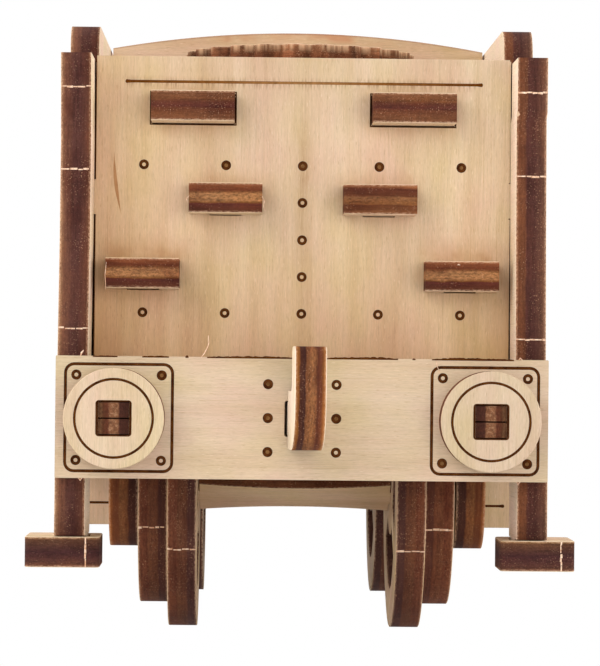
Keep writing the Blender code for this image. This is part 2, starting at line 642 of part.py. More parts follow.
key_outline = [
    (-KEY_HALF, key_middle - KEY_HALF),
    (KEY_HALF, key_middle - KEY_HALF),
    (KEY_HALF, key_middle + KEY_HALF),
    (-KEY_HALF, key_middle + KEY_HALF),
    (-KEY_HALF, key_middle + key_slot),
    (PLY / 2 + FIT, key_middle + key_slot),
    (PLY / 2 + FIT, key_middle - key_slot),
    (-KEY_HALF, key_middle - key_slot),
]
for end, way in ENDS:
    turn = HOOK_REST_YAW if way < 0 else HOOK_REST_YAW + math.pi
    swing = pivot("coupling_" + end, (0.0, way * BEAM_PLANE, 0.0), (0.0, 0.0, turn))
    plate("hook_" + end, [hook_outline], ALONG, (0.0, 0.0, 0.0), VENEER, swing)
    plate("hook_key_" + end, [key_outline], ACROSS, (0.0, key_front + PLY / 2, 0.0), TAN, swing)
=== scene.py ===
import math
import random

import bmesh
import bpy
from mathutils import Matrix, Vector


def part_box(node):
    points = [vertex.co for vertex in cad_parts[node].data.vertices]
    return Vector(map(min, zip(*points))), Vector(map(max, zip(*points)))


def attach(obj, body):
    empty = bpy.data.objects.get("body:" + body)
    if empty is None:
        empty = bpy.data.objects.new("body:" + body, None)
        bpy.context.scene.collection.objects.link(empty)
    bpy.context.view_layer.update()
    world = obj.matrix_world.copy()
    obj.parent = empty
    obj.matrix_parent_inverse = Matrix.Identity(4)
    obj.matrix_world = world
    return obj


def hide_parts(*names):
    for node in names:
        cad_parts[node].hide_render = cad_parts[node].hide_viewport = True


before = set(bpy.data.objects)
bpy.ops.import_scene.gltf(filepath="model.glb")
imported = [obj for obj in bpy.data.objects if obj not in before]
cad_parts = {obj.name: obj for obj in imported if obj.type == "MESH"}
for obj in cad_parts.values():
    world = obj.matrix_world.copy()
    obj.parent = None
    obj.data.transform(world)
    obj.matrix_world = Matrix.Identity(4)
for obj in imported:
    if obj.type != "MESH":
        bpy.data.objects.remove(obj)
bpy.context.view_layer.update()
MM = 0.001
SIDES = (("left", -1.0), ("right", 1.0))
ENDS = (("near", -1.0), ("far", 1.0))
X = (1.0, 0.0, 0.0)
Y = (0.0, 1.0, 0.0)
Z = (0.0, 0.0, 1.0)
CAR = "car_body"
FULL = (1.0, 1.0, 1.0, 1.0)

# Sizes in mm and angles in degrees, matching the solids or read off the photograph
PLY = 3.0
CAR_HEIGHT = 65.0
ARCH_RADIUS = 116.0
WALL_MIDDLE = 22.4
WALL_OUTER = 23.9
WALL_FOOT = 16.9
WALL_HEAD = 63.0
BUFFER_X = 18.2
BUFFER_Z = 22.6
AXLE_Y = 24.65
AXLE_Z = 15.0
CAP_Y = 20.15
CAP_VALLEY = 10.6
FOOT_Z = 9.3
HOOK_TURN = 3.5
CAP_TURN = 3.5
AXLE_TILT = -26.0
TOP_LINE = 56.2
LINE = 0.27
SINK = 0.07
RIM_SINK = 0.14
SMOKE_SINK = 0.05
RIVET = (0.50, 0.19)
TAB_WIDTH = 0.24
TAB_PROUD = 0.04
TAB_ROOT = 0.12
TAB_REACH = 1.45

# Material indices of a dressed plate
ON_FACE, ON_EDGE, ON_BURN, ON_TAB, ON_BACK = 0, 1, 2, 3, 6


def linear(rgb):
    """Linear colour from 0-255 display values."""
    out = []
    for c in rgb:
        c = c / 255.0
        out.append(c / 12.92 if c <= 0.04045 else ((c + 0.055) / 1.055) ** 2.4)
    return (out[0], out[1], out[2], 1.0)


class Nodes:
    """Small helper that adds and links shader nodes."""

    def __init__(self, name):
        self.mat = bpy.data.materials.new(name)
        self.mat.use_nodes = True
        self.tree = self.mat.node_tree
        self.bsdf = self.tree.nodes["Principled BSDF"]

    def add(self, kind, **values):
        node = self.tree.nodes.new(kind)
        for key, value in values.items():
            setattr(node, key, value)
        return node

    def link(self, a, b):
        self.tree.links.new(a, b)

    def attribute(self, name):
        return self.add("ShaderNodeAttribute", attribute_name=name)

    def scaled(self, vector, scale, offset=(0.0, 0.0, 0.0)):
        node = self.add("ShaderNodeMapping")
        node.inputs["Scale"].default_value = scale
        node.inputs["Location"].default_value = offset
        self.link(vector, node.inputs["Vector"])
        return node.outputs["Vector"]

    def split(self, vector):
        node = self.add("ShaderNodeSeparateXYZ")
        self.link(vector, node.inputs["Vector"])
        return node.outputs

    def noise(self, vector, scale, detail, rough):
        node = self.add("ShaderNodeTexNoise")
        node.inputs["Scale"].default_value = scale
        node.inputs["Detail"].default_value = detail
        node.inputs["Roughness"].default_value = rough
        self.link(vector, node.inputs["Vector"])
        return node.outputs["Fac"]

    def ramp(self, fac, stops):
        node = self.add("ShaderNodeValToRGB")
        elements = node.color_ramp.elements
        while len(elements) < len(stops):
            elements.new(0.5)
        for element, (place, colour) in zip(elements, stops):
            element.position = place
            element.color = colour
        self.link(fac, node.inputs["Fac"])
        return node.outputs["Color"]

    def grey(self, fac, stops):
        return self.ramp(fac, [(p, (v, v, v, 1.0)) for p, v in stops])

    def mix(self, fac, a, b, blend="MIX"):
        node = self.add("ShaderNodeMix", data_type="RGBA", blend_type=blend)
        for value, key in ((fac, 0), (a, 6), (b, 7)):
            if isinstance(value, (int, float, tuple)):
                node.inputs[key].default_value = value
            else:
                self.link(value, node.inputs[key])
        return node.outputs[2]

    def math(self, kind, a, b=0.0):
        node = self.add("ShaderNodeMath", operation=kind)
        for value, key in ((a, 0), (b, 1)):
            if isinstance(value, (int, float)):
                node.inputs[key].default_value = value
            else:
                self.link(value, node.inputs[key])
        return node.outputs[0]

    def times(self, first, *rest):
        for value in rest:
            first = self.math("MULTIPLY", first, value)
        return first

    def past(self, value, middle, half):
        """How far a value lies outside middle plus or minus half."""
        off = self.math("ABSOLUTE", self.math("SUBTRACT", value, middle))
        return self.math("MAXIMUM", self.math("SUBTRACT", off, half), 0.0)

    def bump(self, height, strength, distance):
        node = self.add("ShaderNodeBump")
        node.inputs["Strength"].default_value = strength
        node.inputs["Distance"].default_value = distance
        self.link(height, node.inputs["Height"])
        self.link(node.outputs["Normal"], self.bsdf.inputs["Normal"])


# Smoke round the panel's mortises: middle and half width, middle and half height
SMOKE_HALOS = ((7.3, 3.2, 44.9, 0.8), (15.7, 3.2, 38.3, 0.8), (11.0, 3.9, 53.6, 1.2))


def panel_stains_and_shade(n, base, streaks):
    """The near panel's tones: painted shade that is darker and warmer towards the bottom, painted shade
    at the left and painted light at the right, smoke at mortises, browner lower outer corners, a centre
    stain, a hazy top line.
    """
    spot = n.attribute("spot").outputs["Vector"]
    parts = n.split(spot)
    height = n.times(parts["Z"], 1.0 / CAR_HEIGHT)
    # Painted shade: darker and warmer towards the bottom, a little greyer at the very top.
    low_shade = n.ramp(height, [(0.42, linear((255, 241, 224))), (0.62, linear((255, 252, 250))),
                           (0.78, FULL), (0.90, linear((243, 242, 241)))])
    base = n.mix(1.0, base, low_shade, "MULTIPLY")
    # Painted shade at the left, darker and warmer, and painted light at the right, brighter.
    right = n.math("ADD", n.times(parts["X"], 0.025), 0.5)
    side_light_and_shade = n.ramp(right, [(0.02, (0.95, 0.91, 0.83, 1.0)), (0.3, FULL), (0.65, FULL),
                          (0.97, (1.04, 1.10, 1.12, 1.0))])
    base = n.mix(1.0, base, side_light_and_shade, "MULTIPLY")
    out = n.math("ABSOLUTE", parts["X"])
    cloudy = n.noise(n.scaled(spot, (0.5, 0.0, 0.35), (2.0, 0.0, 4.0)), 1.0, 3.0, 0.6)
    for u, half, v, tall in SMOKE_HALOS:
        du = n.past(out, u, half)
        dv = n.past(parts["Z"], v, tall)
        gap = n.math("SQRT", n.math("ADD", n.times(du, du), n.times(dv, dv)))
        halo = n.grey(n.times(gap, 0.2), [(0.0, 0.5), (0.12, 0.3), (0.4, 0.0)])
        halo = n.times(halo, n.grey(cloudy, [(0.35, 0.2), (0.65, 1.0)]))
        base = n.mix(halo, base, linear((172, 124, 78)))
    low_out = n.math("ADD", n.times(out, 0.05), n.times(parts["Z"], -0.02))
    base = n.mix(n.grey(low_out, [(0.26, 0.0), (0.5, 0.5)]), base, linear((186, 138, 88)))
    wander = n.noise(n.scaled(spot, (2.5, 0.0, 0.5)), 1.0, 3.0, 0.6)
    off = n.math("ABSOLUTE", n.math("ADD", parts["X"], n.math("SUBTRACT", wander, 0.5)))
    near = n.grey(n.times(off, 0.5), [(0.0, 1.0), (0.16, 0.6), (0.6, 0.0)])
    span = n.grey(height, [(0.44, 0.4), (0.55, 0.5), (0.66, 1.0), (0.77, 1.0), (0.82, 0.0)])
    stain = n.times(near, span, n.grey(streaks, [(0.4, 0.1), (0.62, 0.55)]))
    base = n.mix(stain, base, linear((150, 112, 58)))
    drop = n.math("ABSOLUTE", n.math("SUBTRACT", parts["Z"], TOP_LINE - 0.1))
    haze = n.grey(drop, [(0.1, 0.75), (0.35, 0.4), (0.75, 0.0)])
    tick = n.noise(n.scaled(spot, (5.0, 0.0, 0.4)), 1.0, 2.0, 0.6)
    ends = n.grey(n.times(out, 0.05), [(0.88, 1.0), (0.9, 0.0)])
    haze = n.times(haze, ends, n.grey(tick, [(0.45, 0.0), (0.62, 0.65)]))
    return n.mix(haze, base, linear((128, 84, 40)))


def arch_browning(n, base):
    """Browner under the bulkhead's arched edge, with a few brown blots near the middle."""
    spot = n.attribute("spot").outputs["Vector"]
    reach = n.add("ShaderNodeVectorMath", operation="LENGTH")
    n.link(n.scaled(spot, (1.0, 0.0, 1.0), (0.0, 0.0, ARCH_RADIUS - CAR_HEIGHT)), reach.inputs[0])
    under = n.math("SUBTRACT", ARCH_RADIUS, reach.outputs["Value"])
    blot = n.noise(n.scaled(spot, (0.22, 0.0, 0.3), (6.4, 0.0, 1.0)), 1.0, 2.0, 0.5)
    wide = n.times(n.math("ABSOLUTE", n.split(spot)["X"]), 0.05)
    blot = n.times(n.grey(blot, [(0.42, 0.0), (0.58, 0.75)]), n.grey(under, [(0.6, 1.0), (1.0, 0.2)]),
                   n.grey(wide, [(0.4, 1.0), (0.55, 0.0)]))
    base = n.mix(blot, base, linear((190, 136, 100)))
    rim = n.grey(under, [(0.0, 0.7), (0.10, 0.5), (0.24, 0.0)])
    return n.mix(rim, base, linear((150, 108, 84)))


def veneer_material(name, light, mid, deep, with_stains_and_shade=False, arch=False):
    """Birch veneer: faint bands, fine streaks, short dark pores and pale flecks."""
    n = Nodes(name)
    lay = n.attribute("lay").outputs["Vector"]
    tint = n.attribute("tint").outputs["Fac"]
    bands = n.noise(n.scaled(lay, (0.03, 0.30, 0.0)), 1.0, 4.0, 0.6)
    base = n.ramp(bands, [(0.22, deep), (0.5, mid), (0.78, light)])
    cloud = n.noise(n.scaled(lay, (0.10, 0.16, 0.0), (3.0, 5.0, 0.0)), 1.0, 3.0, 0.55)
    cloud_tone = n.ramp(cloud, [(0.34, linear((250, 238, 208))), (0.5, linear((255, 240, 222))),
                                (0.66, linear((255, 233, 222)))])
    base = n.mix(0.9, base, cloud_tone, "MULTIPLY")
    streaks = n.noise(n.scaled(lay, (0.22, 5.0, 0.0)), 1.0, 5.0, 0.7)
    streak_tone = n.grey(streaks, [(0.28, 0.84), (0.5, 1.0), (0.74, 1.06)])
    base = n.mix(0.8, base, streak_tone, "MULTIPLY")
    fibre = n.noise(n.scaled(lay, (1.2, 13.0, 0.0), (11.0, 4.0, 0.0)), 1.0, 3.0, 0.6)
    fibre_tone = n.grey(fibre, [(0.28, 0.86), (0.5, 1.0), (0.72, 1.06)])
    base = n.mix(0.9, base, fibre_tone, "MULTIPLY")
    pores = n.noise(n.scaled(lay, (1.0, 9.5, 0.0), (2.0, 9.0, 0.0)), 1.0, 2.0, 0.5)
    pore_mask = n.grey(pores, [(0.63, 0.0), (0.70, 1.0)])
    base = n.mix(n.times(pore_mask, 0.34), base, linear((158, 116, 74)))
    fleck = n.noise(n.scaled(lay, (1.3, 8.5, 0.0), (31.0, 17.0, 0.0)), 1.0, 1.0, 0.5)
    fleck_mask = n.grey(fleck, [(0.66, 0.0), (0.74, 1.0)])
    base = n.mix(n.times(fleck_mask, 0.3), base, linear((246, 228, 200)))
    lines = n.noise(n.scaled(lay, (0.07, 8.0, 0.0), (7.0, 21.0, 0.0)), 1.0, 2.0, 0.6)
    line_mask = n.grey(lines, [(0.60, 0.0), (0.70, 1.0)])
    base = n.mix(n.times(line_mask, 0.25), base, linear((166, 124, 80)))
    if with_stains_and_shade:
        base = panel_stains_and_shade(n, base, streaks)
    if arch:
        base = arch_browning(n, base)
    base = n.mix(1.0, base, tint_colour(n, tint), "MULTIPLY")
    n.link(base, n.bsdf.inputs["Base Color"])
    n.link(n.grey(streaks, [(0.3, 0.66), (0.7, 0.8)]), n.bsdf.inputs["Roughness"])
    n.bsdf.inputs["Specular IOR Level"].default_value = 0.2
    height = n.math("ADD", n.math("SUBTRACT", streaks, n.times(pore_mask, 0.5)), fibre)
    n.bump(height, 0.3, 0.00004)
    return n.mat


def tint_colour(n, tint):
    """A lightness factor from the piece's own tint value."""
    node = n.add("ShaderNodeCombineColor")
    for key in ("Red", "Green", "Blue"):
        n.link(tint, node.inputs[key])
    return node.outputs["Color"]


def cap_crest(n, base, depth):
    """The scalloped cap's edge: pale valleys as painted glints, uneven dark and light patches, and a
    pale brim that is partly flecks and partly painted highlight.
    """
    spot = n.attribute("spot").outputs["Vector"]
    flat = n.add("ShaderNodeVectorMath", operation="LENGTH")
    n.link(n.scaled(spot, (1.0, 1.0, 0.0), (0.0, CAP_Y, 0.0)), flat.inputs[0])
    out = n.math("SUBTRACT", flat.outputs["Value"], CAP_VALLEY)
    # Painted highlight: paler in the scallops' valleys, standing for glints.
    valley_glint = n.grey(out, [(0.0, 1.0), (0.5, 0.7), (0.82, 0.0)])
    base = n.mix(n.times(valley_glint, 0.7), base, linear((200, 152, 108)))
    veil = n.noise(n.scaled(spot, (0.42, 0.42, 0.2), (1.0, 3.0, 0.0)), 1.0, 2.0, 0.6)
    base = n.mix(1.0, base, n.grey(veil, [(0.36, 0.34), (0.5, 0.68), (0.64, 1.2)]), "MULTIPLY")
    # Pale flecks on the top brim: partly real fuzz, partly painted highlight.
    brim_fleck_glint = n.noise(n.scaled(spot, (1.1, 1.1, 0.0), (7.0, 2.0, 0.0)), 1.0, 3.0, 0.6)
    brim_fleck_glint = n.times(n.grey(brim_fleck_glint, [(0.45, 0.0), (0.6, 1.0)]), n.grey(depth, [(0.7, 0.0), (0.95, 0.7)]))
    return n.mix(brim_fleck_glint, base, linear((226, 188, 150)))


def edge_material(name, stops, grain=(0.0, 1.0), speck=0.5, bars=0.12, dust=0.5, crest=False, tip=None):
    """Charred cut edge of ply: tones across the thickness, a speckled core, pale dust, and pale rims
    that are partly frayed fibre and partly painted highlight.
    """
    n = Nodes(name)
    lay = n.attribute("lay").outputs["Vector"]
    wobble = n.noise(n.scaled(lay, (0.6, 0.6, 0.3)), 1.0, 3.0, 0.6)
    depth = n.math("ADD", n.times(n.split(lay)["Z"], 1.0 / PLY), 0.5)
    place = n.math("ADD", depth, n.times(n.math("SUBTRACT", wobble, 0.5), 0.12))
    base = n.ramp(place, [(p, linear(c)) for p, c in stops])
    stripes = n.noise(n.scaled(lay, (3.2, 3.2, 0.25)), 1.0, 4.0, 0.65)
    bar_tone = n.grey(stripes, [(0.3, 1.0 - bars), (0.5, 1.0), (0.7, 1.0 + bars)])
    base = n.mix(1.0, base, bar_tone, "MULTIPLY")
    runs = n.noise(n.scaled(lay, (0.22, 0.22, 4.5), (4.0, 2.0, 6.0)), 1.0, 4.0, 0.65)
    base = n.mix(1.0, base, n.grey(runs, [(0.3, 0.72), (0.5, 1.0), (0.7, 1.22)]), "MULTIPLY")
    mottle = n.noise(n.scaled(lay, (2.6, 2.6, 5.5)), 1.0, 6.0, 0.8)
    inside = n.grey(place, [(grain[0], 0.25), (grain[0] + 0.05, 1.0),
                            (grain[1] - 0.05, 1.0), (grain[1], 0.25)])
    coarse = n.grey(mottle, [(0.36, 1.0 - speck), (0.5, 1.0), (0.64, 1.0 + speck)])
    base = n.mix(inside, base, n.mix(1.0, base, coarse, "MULTIPLY"))
    soot = n.noise(n.scaled(lay, (0.16, 0.16, 0.35), (5.0, 8.0, 1.0)), 1.0, 4.0, 0.6)
    soot_tone = n.ramp(soot, [(0.32, linear((206, 186, 184))), (0.5, FULL),
                              (0.7, (1.2, 1.12, 0.98, 1.0))])
    base = n.mix(0.9, base, soot_tone, "MULTIPLY")
    if crest:
        base = cap_crest(n, base, depth)
    grit = n.noise(n.scaled(lay, (6.5, 6.5, 7.5)), 1.0, 2.0, 0.6)
    patch = n.noise(n.scaled(lay, (0.3, 0.3, 0.9), (9.0, 2.0, 5.0)), 1.0, 3.0, 0.6)
    grit_mask = n.times(n.grey(grit, [(0.60, 0.0), (0.70, 1.0)]),
                        n.grey(patch, [(0.42, 0.1), (0.62, 1.0)]))
    base = n.mix(n.times(grit_mask, dust), base, linear((206, 158, 124)))
    # Pale fuzz along both rims: partly frayed fibre, partly painted highlight where the rims catch
    # light.
    fuzz = n.noise(n.scaled(lay, (3.5, 3.5, 9.0), (3.0, 1.0, 8.0)), 1.0, 3.0, 0.7)
    fuzz_mask = n.grey(fuzz, [(0.42, 0.0), (0.60, 1.0)])
    rim_sheen_band = n.grey(depth, [(0.0, 0.9), (0.035, 0.5), (0.085, 0.0),
                            (0.915, 0.0), (0.965, 0.5), (1.0, 0.9)])
    base = n.mix(n.times(fuzz_mask, rim_sheen_band), base, linear((228, 184, 150)))
    if tip:
        where = n.split(n.attribute("spot").outputs["Vector"])
        reach = n.times(n.math("ABSOLUTE", where["Y"]), 0.01)
        char = n.ramp(place, [(p, linear(c)) for p, c in tip])
        char = n.mix(1.0, n.mix(1.0, char, coarse, "MULTIPLY"), bar_tone, "MULTIPLY")
        worn = n.noise(n.scaled(lay, (3.4, 3.4, 3.0), (2.0, 6.0, 4.0)), 1.0, 5.0, 0.75)
        core = n.grey(place, [(0.30, 0.0), (0.38, 1.0), (0.62, 1.0), (0.70, 0.0)])
        core = n.times(core, n.grey(worn, [(0.50, 0.0), (0.62, 0.5)]))
        char = n.mix(core, char, linear((184, 140, 106)))
        base = n.mix(n.grey(reach, [(0.50, 0.0), (0.52, 1.0)]), base, char)
    n.link(base, n.bsdf.inputs["Base Color"])
    n.link(n.grey(stripes, [(0.3, 0.72), (0.7, 0.9)]), n.bsdf.inputs["Roughness"])
    n.bsdf.inputs["Specular IOR Level"].default_value = 0.12
    n.bump(n.math("ADD", stripes, n.times(mottle, 0.8)), 0.5, 0.0001)
    return n.mat


def plain_wood(name, low, high, scale, rough):
    """A small wood tone with its own grainy variation."""
    n = Nodes(name)
    lay = n.attribute("lay").outputs["Vector"]
    tone = n.noise(n.scaled(lay, (scale, scale, scale)), 1.0, 3.0, 0.6)
    n.link(n.ramp(tone, [(0.3, low), (0.7, high)]), n.bsdf.inputs["Base Color"])
    n.link(n.grey(tone, [(0.3, rough), (0.7, rough + 0.1)]), n.bsdf.inputs["Roughness"])
    n.bsdf.inputs["Specular IOR Level"].default_value = 0.06
    n.bump(tone, 0.2, 0.00004)
    return n.mat


PANEL = veneer_material("veneer_tan", linear((224, 209, 191)), linear((210, 190, 165)),
                        linear((192, 167, 135)))
PALE = veneer_material("veneer_pale", linear((225, 214, 200)), linear((217, 203, 184)),
                       linear((203, 185, 160)))
WHITE = veneer_material("veneer_white", linear((230, 225, 219)), linear((224, 216, 208)),
                        linear((212, 201, 190)))
# A lighter copy of the veneer for the walls' inner faces: painted light.
WALL_INNER_LIT = veneer_material("veneer_inner_painted_light", linear((242, 233, 222)), linear((236, 225, 211)),
                         linear((225, 210, 192)))
PANEL_STAINED_SHADED = veneer_material("veneer_stained_and_shaded", linear((226, 213, 198)), linear((213, 196, 174)),
                              linear((196, 174, 146)), with_stains_and_shade=True)
PANEL_ARCH = veneer_material("veneer_arched", linear((224, 209, 191)), linear((210, 190, 165)),
                             linear((192, 167, 135)), arch=True)
EDGE_POST_LEFT = edge_material("cut_edge_post_left", [
    (0.0, (112, 70, 42)), (0.10, (92, 54, 40)), (0.30, (82, 48, 40)), (0.36, (78, 46, 40)),
    (0.58, (84, 51, 44)), (0.66, (96, 60, 48)), (0.84, (112, 72, 55)), (0.93, (136, 96, 70)),
    (1.0, (166, 126, 96))], speck=0.22, bars=0.06)
EDGE_POST_RIGHT = edge_material("cut_edge_post_right", [
    (0.0, (120, 71, 41)), (0.10, (107, 63, 40)), (0.30, (102, 60, 40)), (0.36, (75, 42, 36)),
    (0.62, (73, 42, 36)), (0.70, (83, 51, 42)), (0.88, (93, 60, 47)), (1.0, (124, 87, 66))],
    speck=0.25, bars=0.10)
EDGE_FOOT = edge_material("cut_edge_foot", [
    (0.0, (104, 64, 46)), (0.12, (82, 50, 40)), (0.32, (74, 42, 38)), (0.50, (62, 34, 34)),
    (0.66, (74, 45, 38)), (0.90, (92, 60, 42)), (1.0, (142, 102, 62))], speck=0.3, bars=0.06, dust=0.4)
EDGE_FRAME = edge_material("cut_edge_frame", [
    (0.0, (74, 45, 37)), (0.30, (78, 46, 37)), (0.36, (122, 76, 48)), (0.60, (130, 84, 52)),
    (0.68, (108, 62, 39)), (0.86, (112, 64, 39)), (0.94, (152, 93, 54)), (1.0, (194, 138, 92))],
    (0.35, 0.66), 0.4, 0.06, 0.35, tip=[
        (0.0, (56, 28, 18)), (0.30, (66, 36, 27)), (0.35, (112, 72, 48)), (0.62, (116, 76, 52)),
        (0.68, (88, 46, 30)), (0.84, (80, 46, 28)), (0.90, (92, 62, 40)), (1.0, (72, 42, 24))])
EDGE_STEP = edge_material("cut_edge_step", [
    (0.0, (92, 52, 28)), (0.06, (80, 42, 26)), (0.30, (84, 40, 32)), (0.34, (112, 68, 34)),
    (0.42, (152, 106, 68)), (0.62, (146, 102, 66)), (0.70, (112, 68, 40)), (0.76, (98, 50, 30)),
    (0.92, (126, 72, 44)), (1.0, (150, 96, 62))], (0.33, 0.74), 0.6, 0.05, 0.35)
EDGE_DULL = edge_material("cut_edge_dull", [
    (0.0, (124, 80, 48)), (0.10, (108, 64, 38)), (0.30, (96, 54, 32)), (0.34, (124, 78, 44)),
    (0.56, (124, 82, 52)), (0.62, (94, 52, 32)), (0.84, (84, 42, 28)), (0.93, (130, 80, 50)),
    (1.0, (150, 98, 64))], (0.33, 0.60), 0.45, 0.05, 0.35)
EDGE_TENON = edge_material("cut_edge_tenon", [
    (0.0, (104, 64, 42)), (0.20, (107, 65, 42)), (0.40, (96, 54, 36)), (0.48, (83, 42, 34)),
    (0.62, (88, 47, 34)), (0.72, (103, 62, 38)), (1.0, (124, 80, 53))], speck=0.25, bars=0.07, dust=0.6)
EDGE_CAP = edge_material("cut_edge_cap", [
    (0.0, (110, 62, 40)), (0.40, (116, 66, 42)), (0.60, (124, 74, 48)), (1.0, (146, 100, 70))],
    speck=0.3, bars=0.1, dust=0.7, crest=True)
EDGE_HOOK = edge_material("cut_edge_hook", [
    (0.0, (156, 100, 46)), (0.11, (132, 80, 36)), (0.16, (80, 44, 30)), (0.31, (64, 36, 30)),
    (0.36, (122, 76, 46)), (0.55, (134, 88, 54)), (0.66, (118, 72, 44)), (0.72, (90, 47, 32)),
    (0.84, (104, 56, 34)), (0.92, (146, 90, 44)), (1.0, (184, 134, 84))], (0.35, 0.72), 0.5, 0.05, 0.45)
EDGE_WHEEL = edge_material("cut_edge_wheel", [
    (0.0, (80, 49, 41)), (0.28, (76, 46, 40)), (0.34, (95, 57, 41)), (0.62, (101, 62, 43)),
    (0.70, (98, 55, 39)), (0.94, (110, 65, 46)), (1.0, (138, 90, 63))], (0.33, 0.95), 0.3, 0.06)
# A lighter copy of the wheel edge for the right treads: painted light, as they sit in the beam's shade.
EDGE_WHEEL_LIT = edge_material("cut_edge_wheel_lit", [
    (0.0, (94, 57, 45)), (0.28, (90, 54, 44)), (0.34, (110, 66, 47)), (0.62, (116, 71, 49)),
    (0.70, (112, 64, 45)), (0.94, (126, 76, 52)), (1.0, (156, 104, 72))], (0.33, 0.95), 0.4, 0.06)
BURN = plain_wood("engraved", linear((56, 26, 9)), linear((98, 56, 26)), 1.6, 0.85)
SMOKE = plain_wood("smoked", linear((92, 60, 30)), linear((140, 101, 60)), 2.0, 0.8)
TAB = plain_wood("broken_tab", linear((196, 140, 104)), linear((252, 226, 200)), 3.0, 0.7)
STREAK = plain_wood("grain_streak", linear((164, 118, 78)), linear((186, 142, 100)), 0.7, 0.7)


def faint_line(name):
    """The top line's burn, lighter at its middle than at its ends."""
    n = Nodes(name)
    out = n.times(n.math("ABSOLUTE", n.split(n.attribute("spot").outputs["Vector"])["X"]), 0.05)
    tone = n.noise(n.attribute("lay").outputs["Vector"], 1.6, 3.0, 0.6)
    base = n.ramp(out, [(0.0, linear((156, 112, 68))), (0.4, linear((132, 86, 42))),
                        (0.9, linear((96, 52, 16)))])
    base = n.mix(1.0, base, n.grey(tone, [(0.3, 0.75), (0.7, 1.2)]), "MULTIPLY")
    n.link(base, n.bsdf.inputs["Base Color"])
    n.link(n.grey(tone, [(0.3, 0.8), (0.7, 0.9)]), n.bsdf.inputs["Roughness"])
    n.bsdf.inputs["Specular IOR Level"].default_value = 0.06
    n.bump(tone, 0.2, 0.00004)
    return n.mat


FAINT = faint_line("engraved_faint")

# Engraving cutters, drawn on a face and sunk a little


def arc(cu, cv, radius, start, end, segments):
    points = []
    for i in range(segments + 1):
        angle = math.radians(start + (end - start) * i / segments)
        points.append((cu + radius * math.cos(angle), cv + radius * math.sin(angle)))
    return points


def ring_loops(cu, cv, outer, inner, segments=20):
    return (arc(cu, cv, outer, 0.0, 360.0, segments)[:-1],
            arc(cu, cv, inner, 0.0, 360.0, segments)[:-1])


def square_loops(cu, cv, half, radius, width):
    out = []
    for grow in (width / 2, -width / 2):
        h = half + grow
        r = radius + grow
        out.append(arc(cu - h + r, cv - h + r, r, 180.0, 270.0, 5)
                   + arc(cu + h - r, cv - h + r, r, 270.0, 360.0, 5)
                   + arc(cu + h - r, cv + h - r, r, 0.0, 90.0, 5)
                   + arc(cu - h + r, cv + h - r, r, 90.0, 180.0, 5))
    return out[0], out[1]


def line_loop(u0, v0, u1, v1, width):
    """A stroke with slightly swollen ends, as a laser leaves where it stops."""
    along = Vector((u1 - u0, v1 - v0)).normalized()
    across = Vector((-along.y, along.x))
    start = Vector((u0, v0))
    end = Vector((u1, v1))
    swell = width * 0.75
    points = []
    for centre, way in ((end, 1.0), (start, -1.0)):
        for i in range(9):
            angle = math.radians(-70.0 + 140.0 * i / 8)
            step = along * (way * math.cos(angle) * swell) + across * (way * math.sin(angle) * swell)
            points.append(centre + step)
    half = width / 2
    body = [start + along * 2 * swell - across * half, end - along * 2 * swell - across * half]
    body += points[:9]
    body += [end - along * 2 * swell + across * half, start + along * 2 * swell + across * half]
    body += points[9:]
    return [(p.x, p.y) for p in body]


def spindle_loop(cu, v0, v1, width, lean):
    """A slim leaning outline, widest at its middle."""
    points = []
    for way in (1.0, -1.0):
        for i in range(10):
            t = i / 10 if way > 0 else 1.0 - i / 10
            half = width / 2 * math.sin(math.pi * t) ** 1.3
            points.append((cu + lean * t * t + way * half, v0 + (v1 - v0) * t))
    return points


CUT_CLEAR = 0.2


class Cutter:
    """Collects closed prisms that sink below one flat face."""

    def __init__(self, name, origin, u_axis, v_axis, out_axis, mat):
        self.name = name
        self.bm = bmesh.new()
        self.origin = Vector(origin)
        self.axes = (Vector(u_axis), Vector(v_axis), Vector(out_axis))
        self.mat = mat

    def point(self, u, v, w):
        a, b, c = self.axes
        return self.bm.verts.new(self.origin + a * u + b * v + c * w)

    def prism(self, loops, depth):
        """One loop makes a solid prism, and two loops of equal count make a ring."""
        rims = []
        for loop in loops:
            top = [self.point(u * MM, v * MM, CUT_CLEAR * MM) for u, v in loop]
            low = [self.point(u * MM, v * MM, -depth * MM) for u, v in loop]
            rims.append((top, low))
            count = len(loop)
            for i in range(count):
                j = (i + 1) % count
                self.bm.faces.new((top[i], top[j], low[j], low[i]))
        if len(loops) == 2:
            count = len(loops[0])
            for level in (0, 1):
                outer = rims[0][level]
                inner = rims[1][level]
                for i in range(count):
                    j = (i + 1) % count
                    self.bm.faces.new((outer[i], outer[j], inner[j], inner[i]))
        else:
            for level in (0, 1):
                self.bm.faces.new(rims[0][level])

    def done(self):
        bmesh.ops.recalc_face_normals(self.bm, faces=self.bm.faces)
        mesh = bpy.data.meshes.new(self.name)
        self.bm.to_mesh(mesh)
        self.bm.free()
        mesh.materials.append(self.mat)
        obj = bpy.data.objects.new(self.name, mesh)
        bpy.context.scene.collection.objects.link(obj)
        return obj


def rivets(cutter, places):
    for u, v in places:
        cutter.prism(ring_loops(u, v, *RIVET), SINK)


def burnt_rim(cutter, u0, v0, u1, v1, width):
    """A scorched margin round a rectangular slot."""
    loops = []
    for w in (width, -0.02):
        loops.append([(u0 - w, v0 - w), (u1 + w, v0 - w), (u1 + w, v1 + w), (u0 - w, v1 + w)])
    cutter.prism(loops, RIM_SINK)


def smoked(cutter, places):
    """The same place and face as a cutter, for rivets whose middle is smoked brown."""
    made = Cutter(cutter.name + "_smoke", cutter.origin, *cutter.axes, SMOKE)
    for u, v in places:
        made.prism([arc(u, v, RIVET[1] + 0.02, 0.0, 360.0, 16)[:-1]], SMOKE_SINK)
    return made


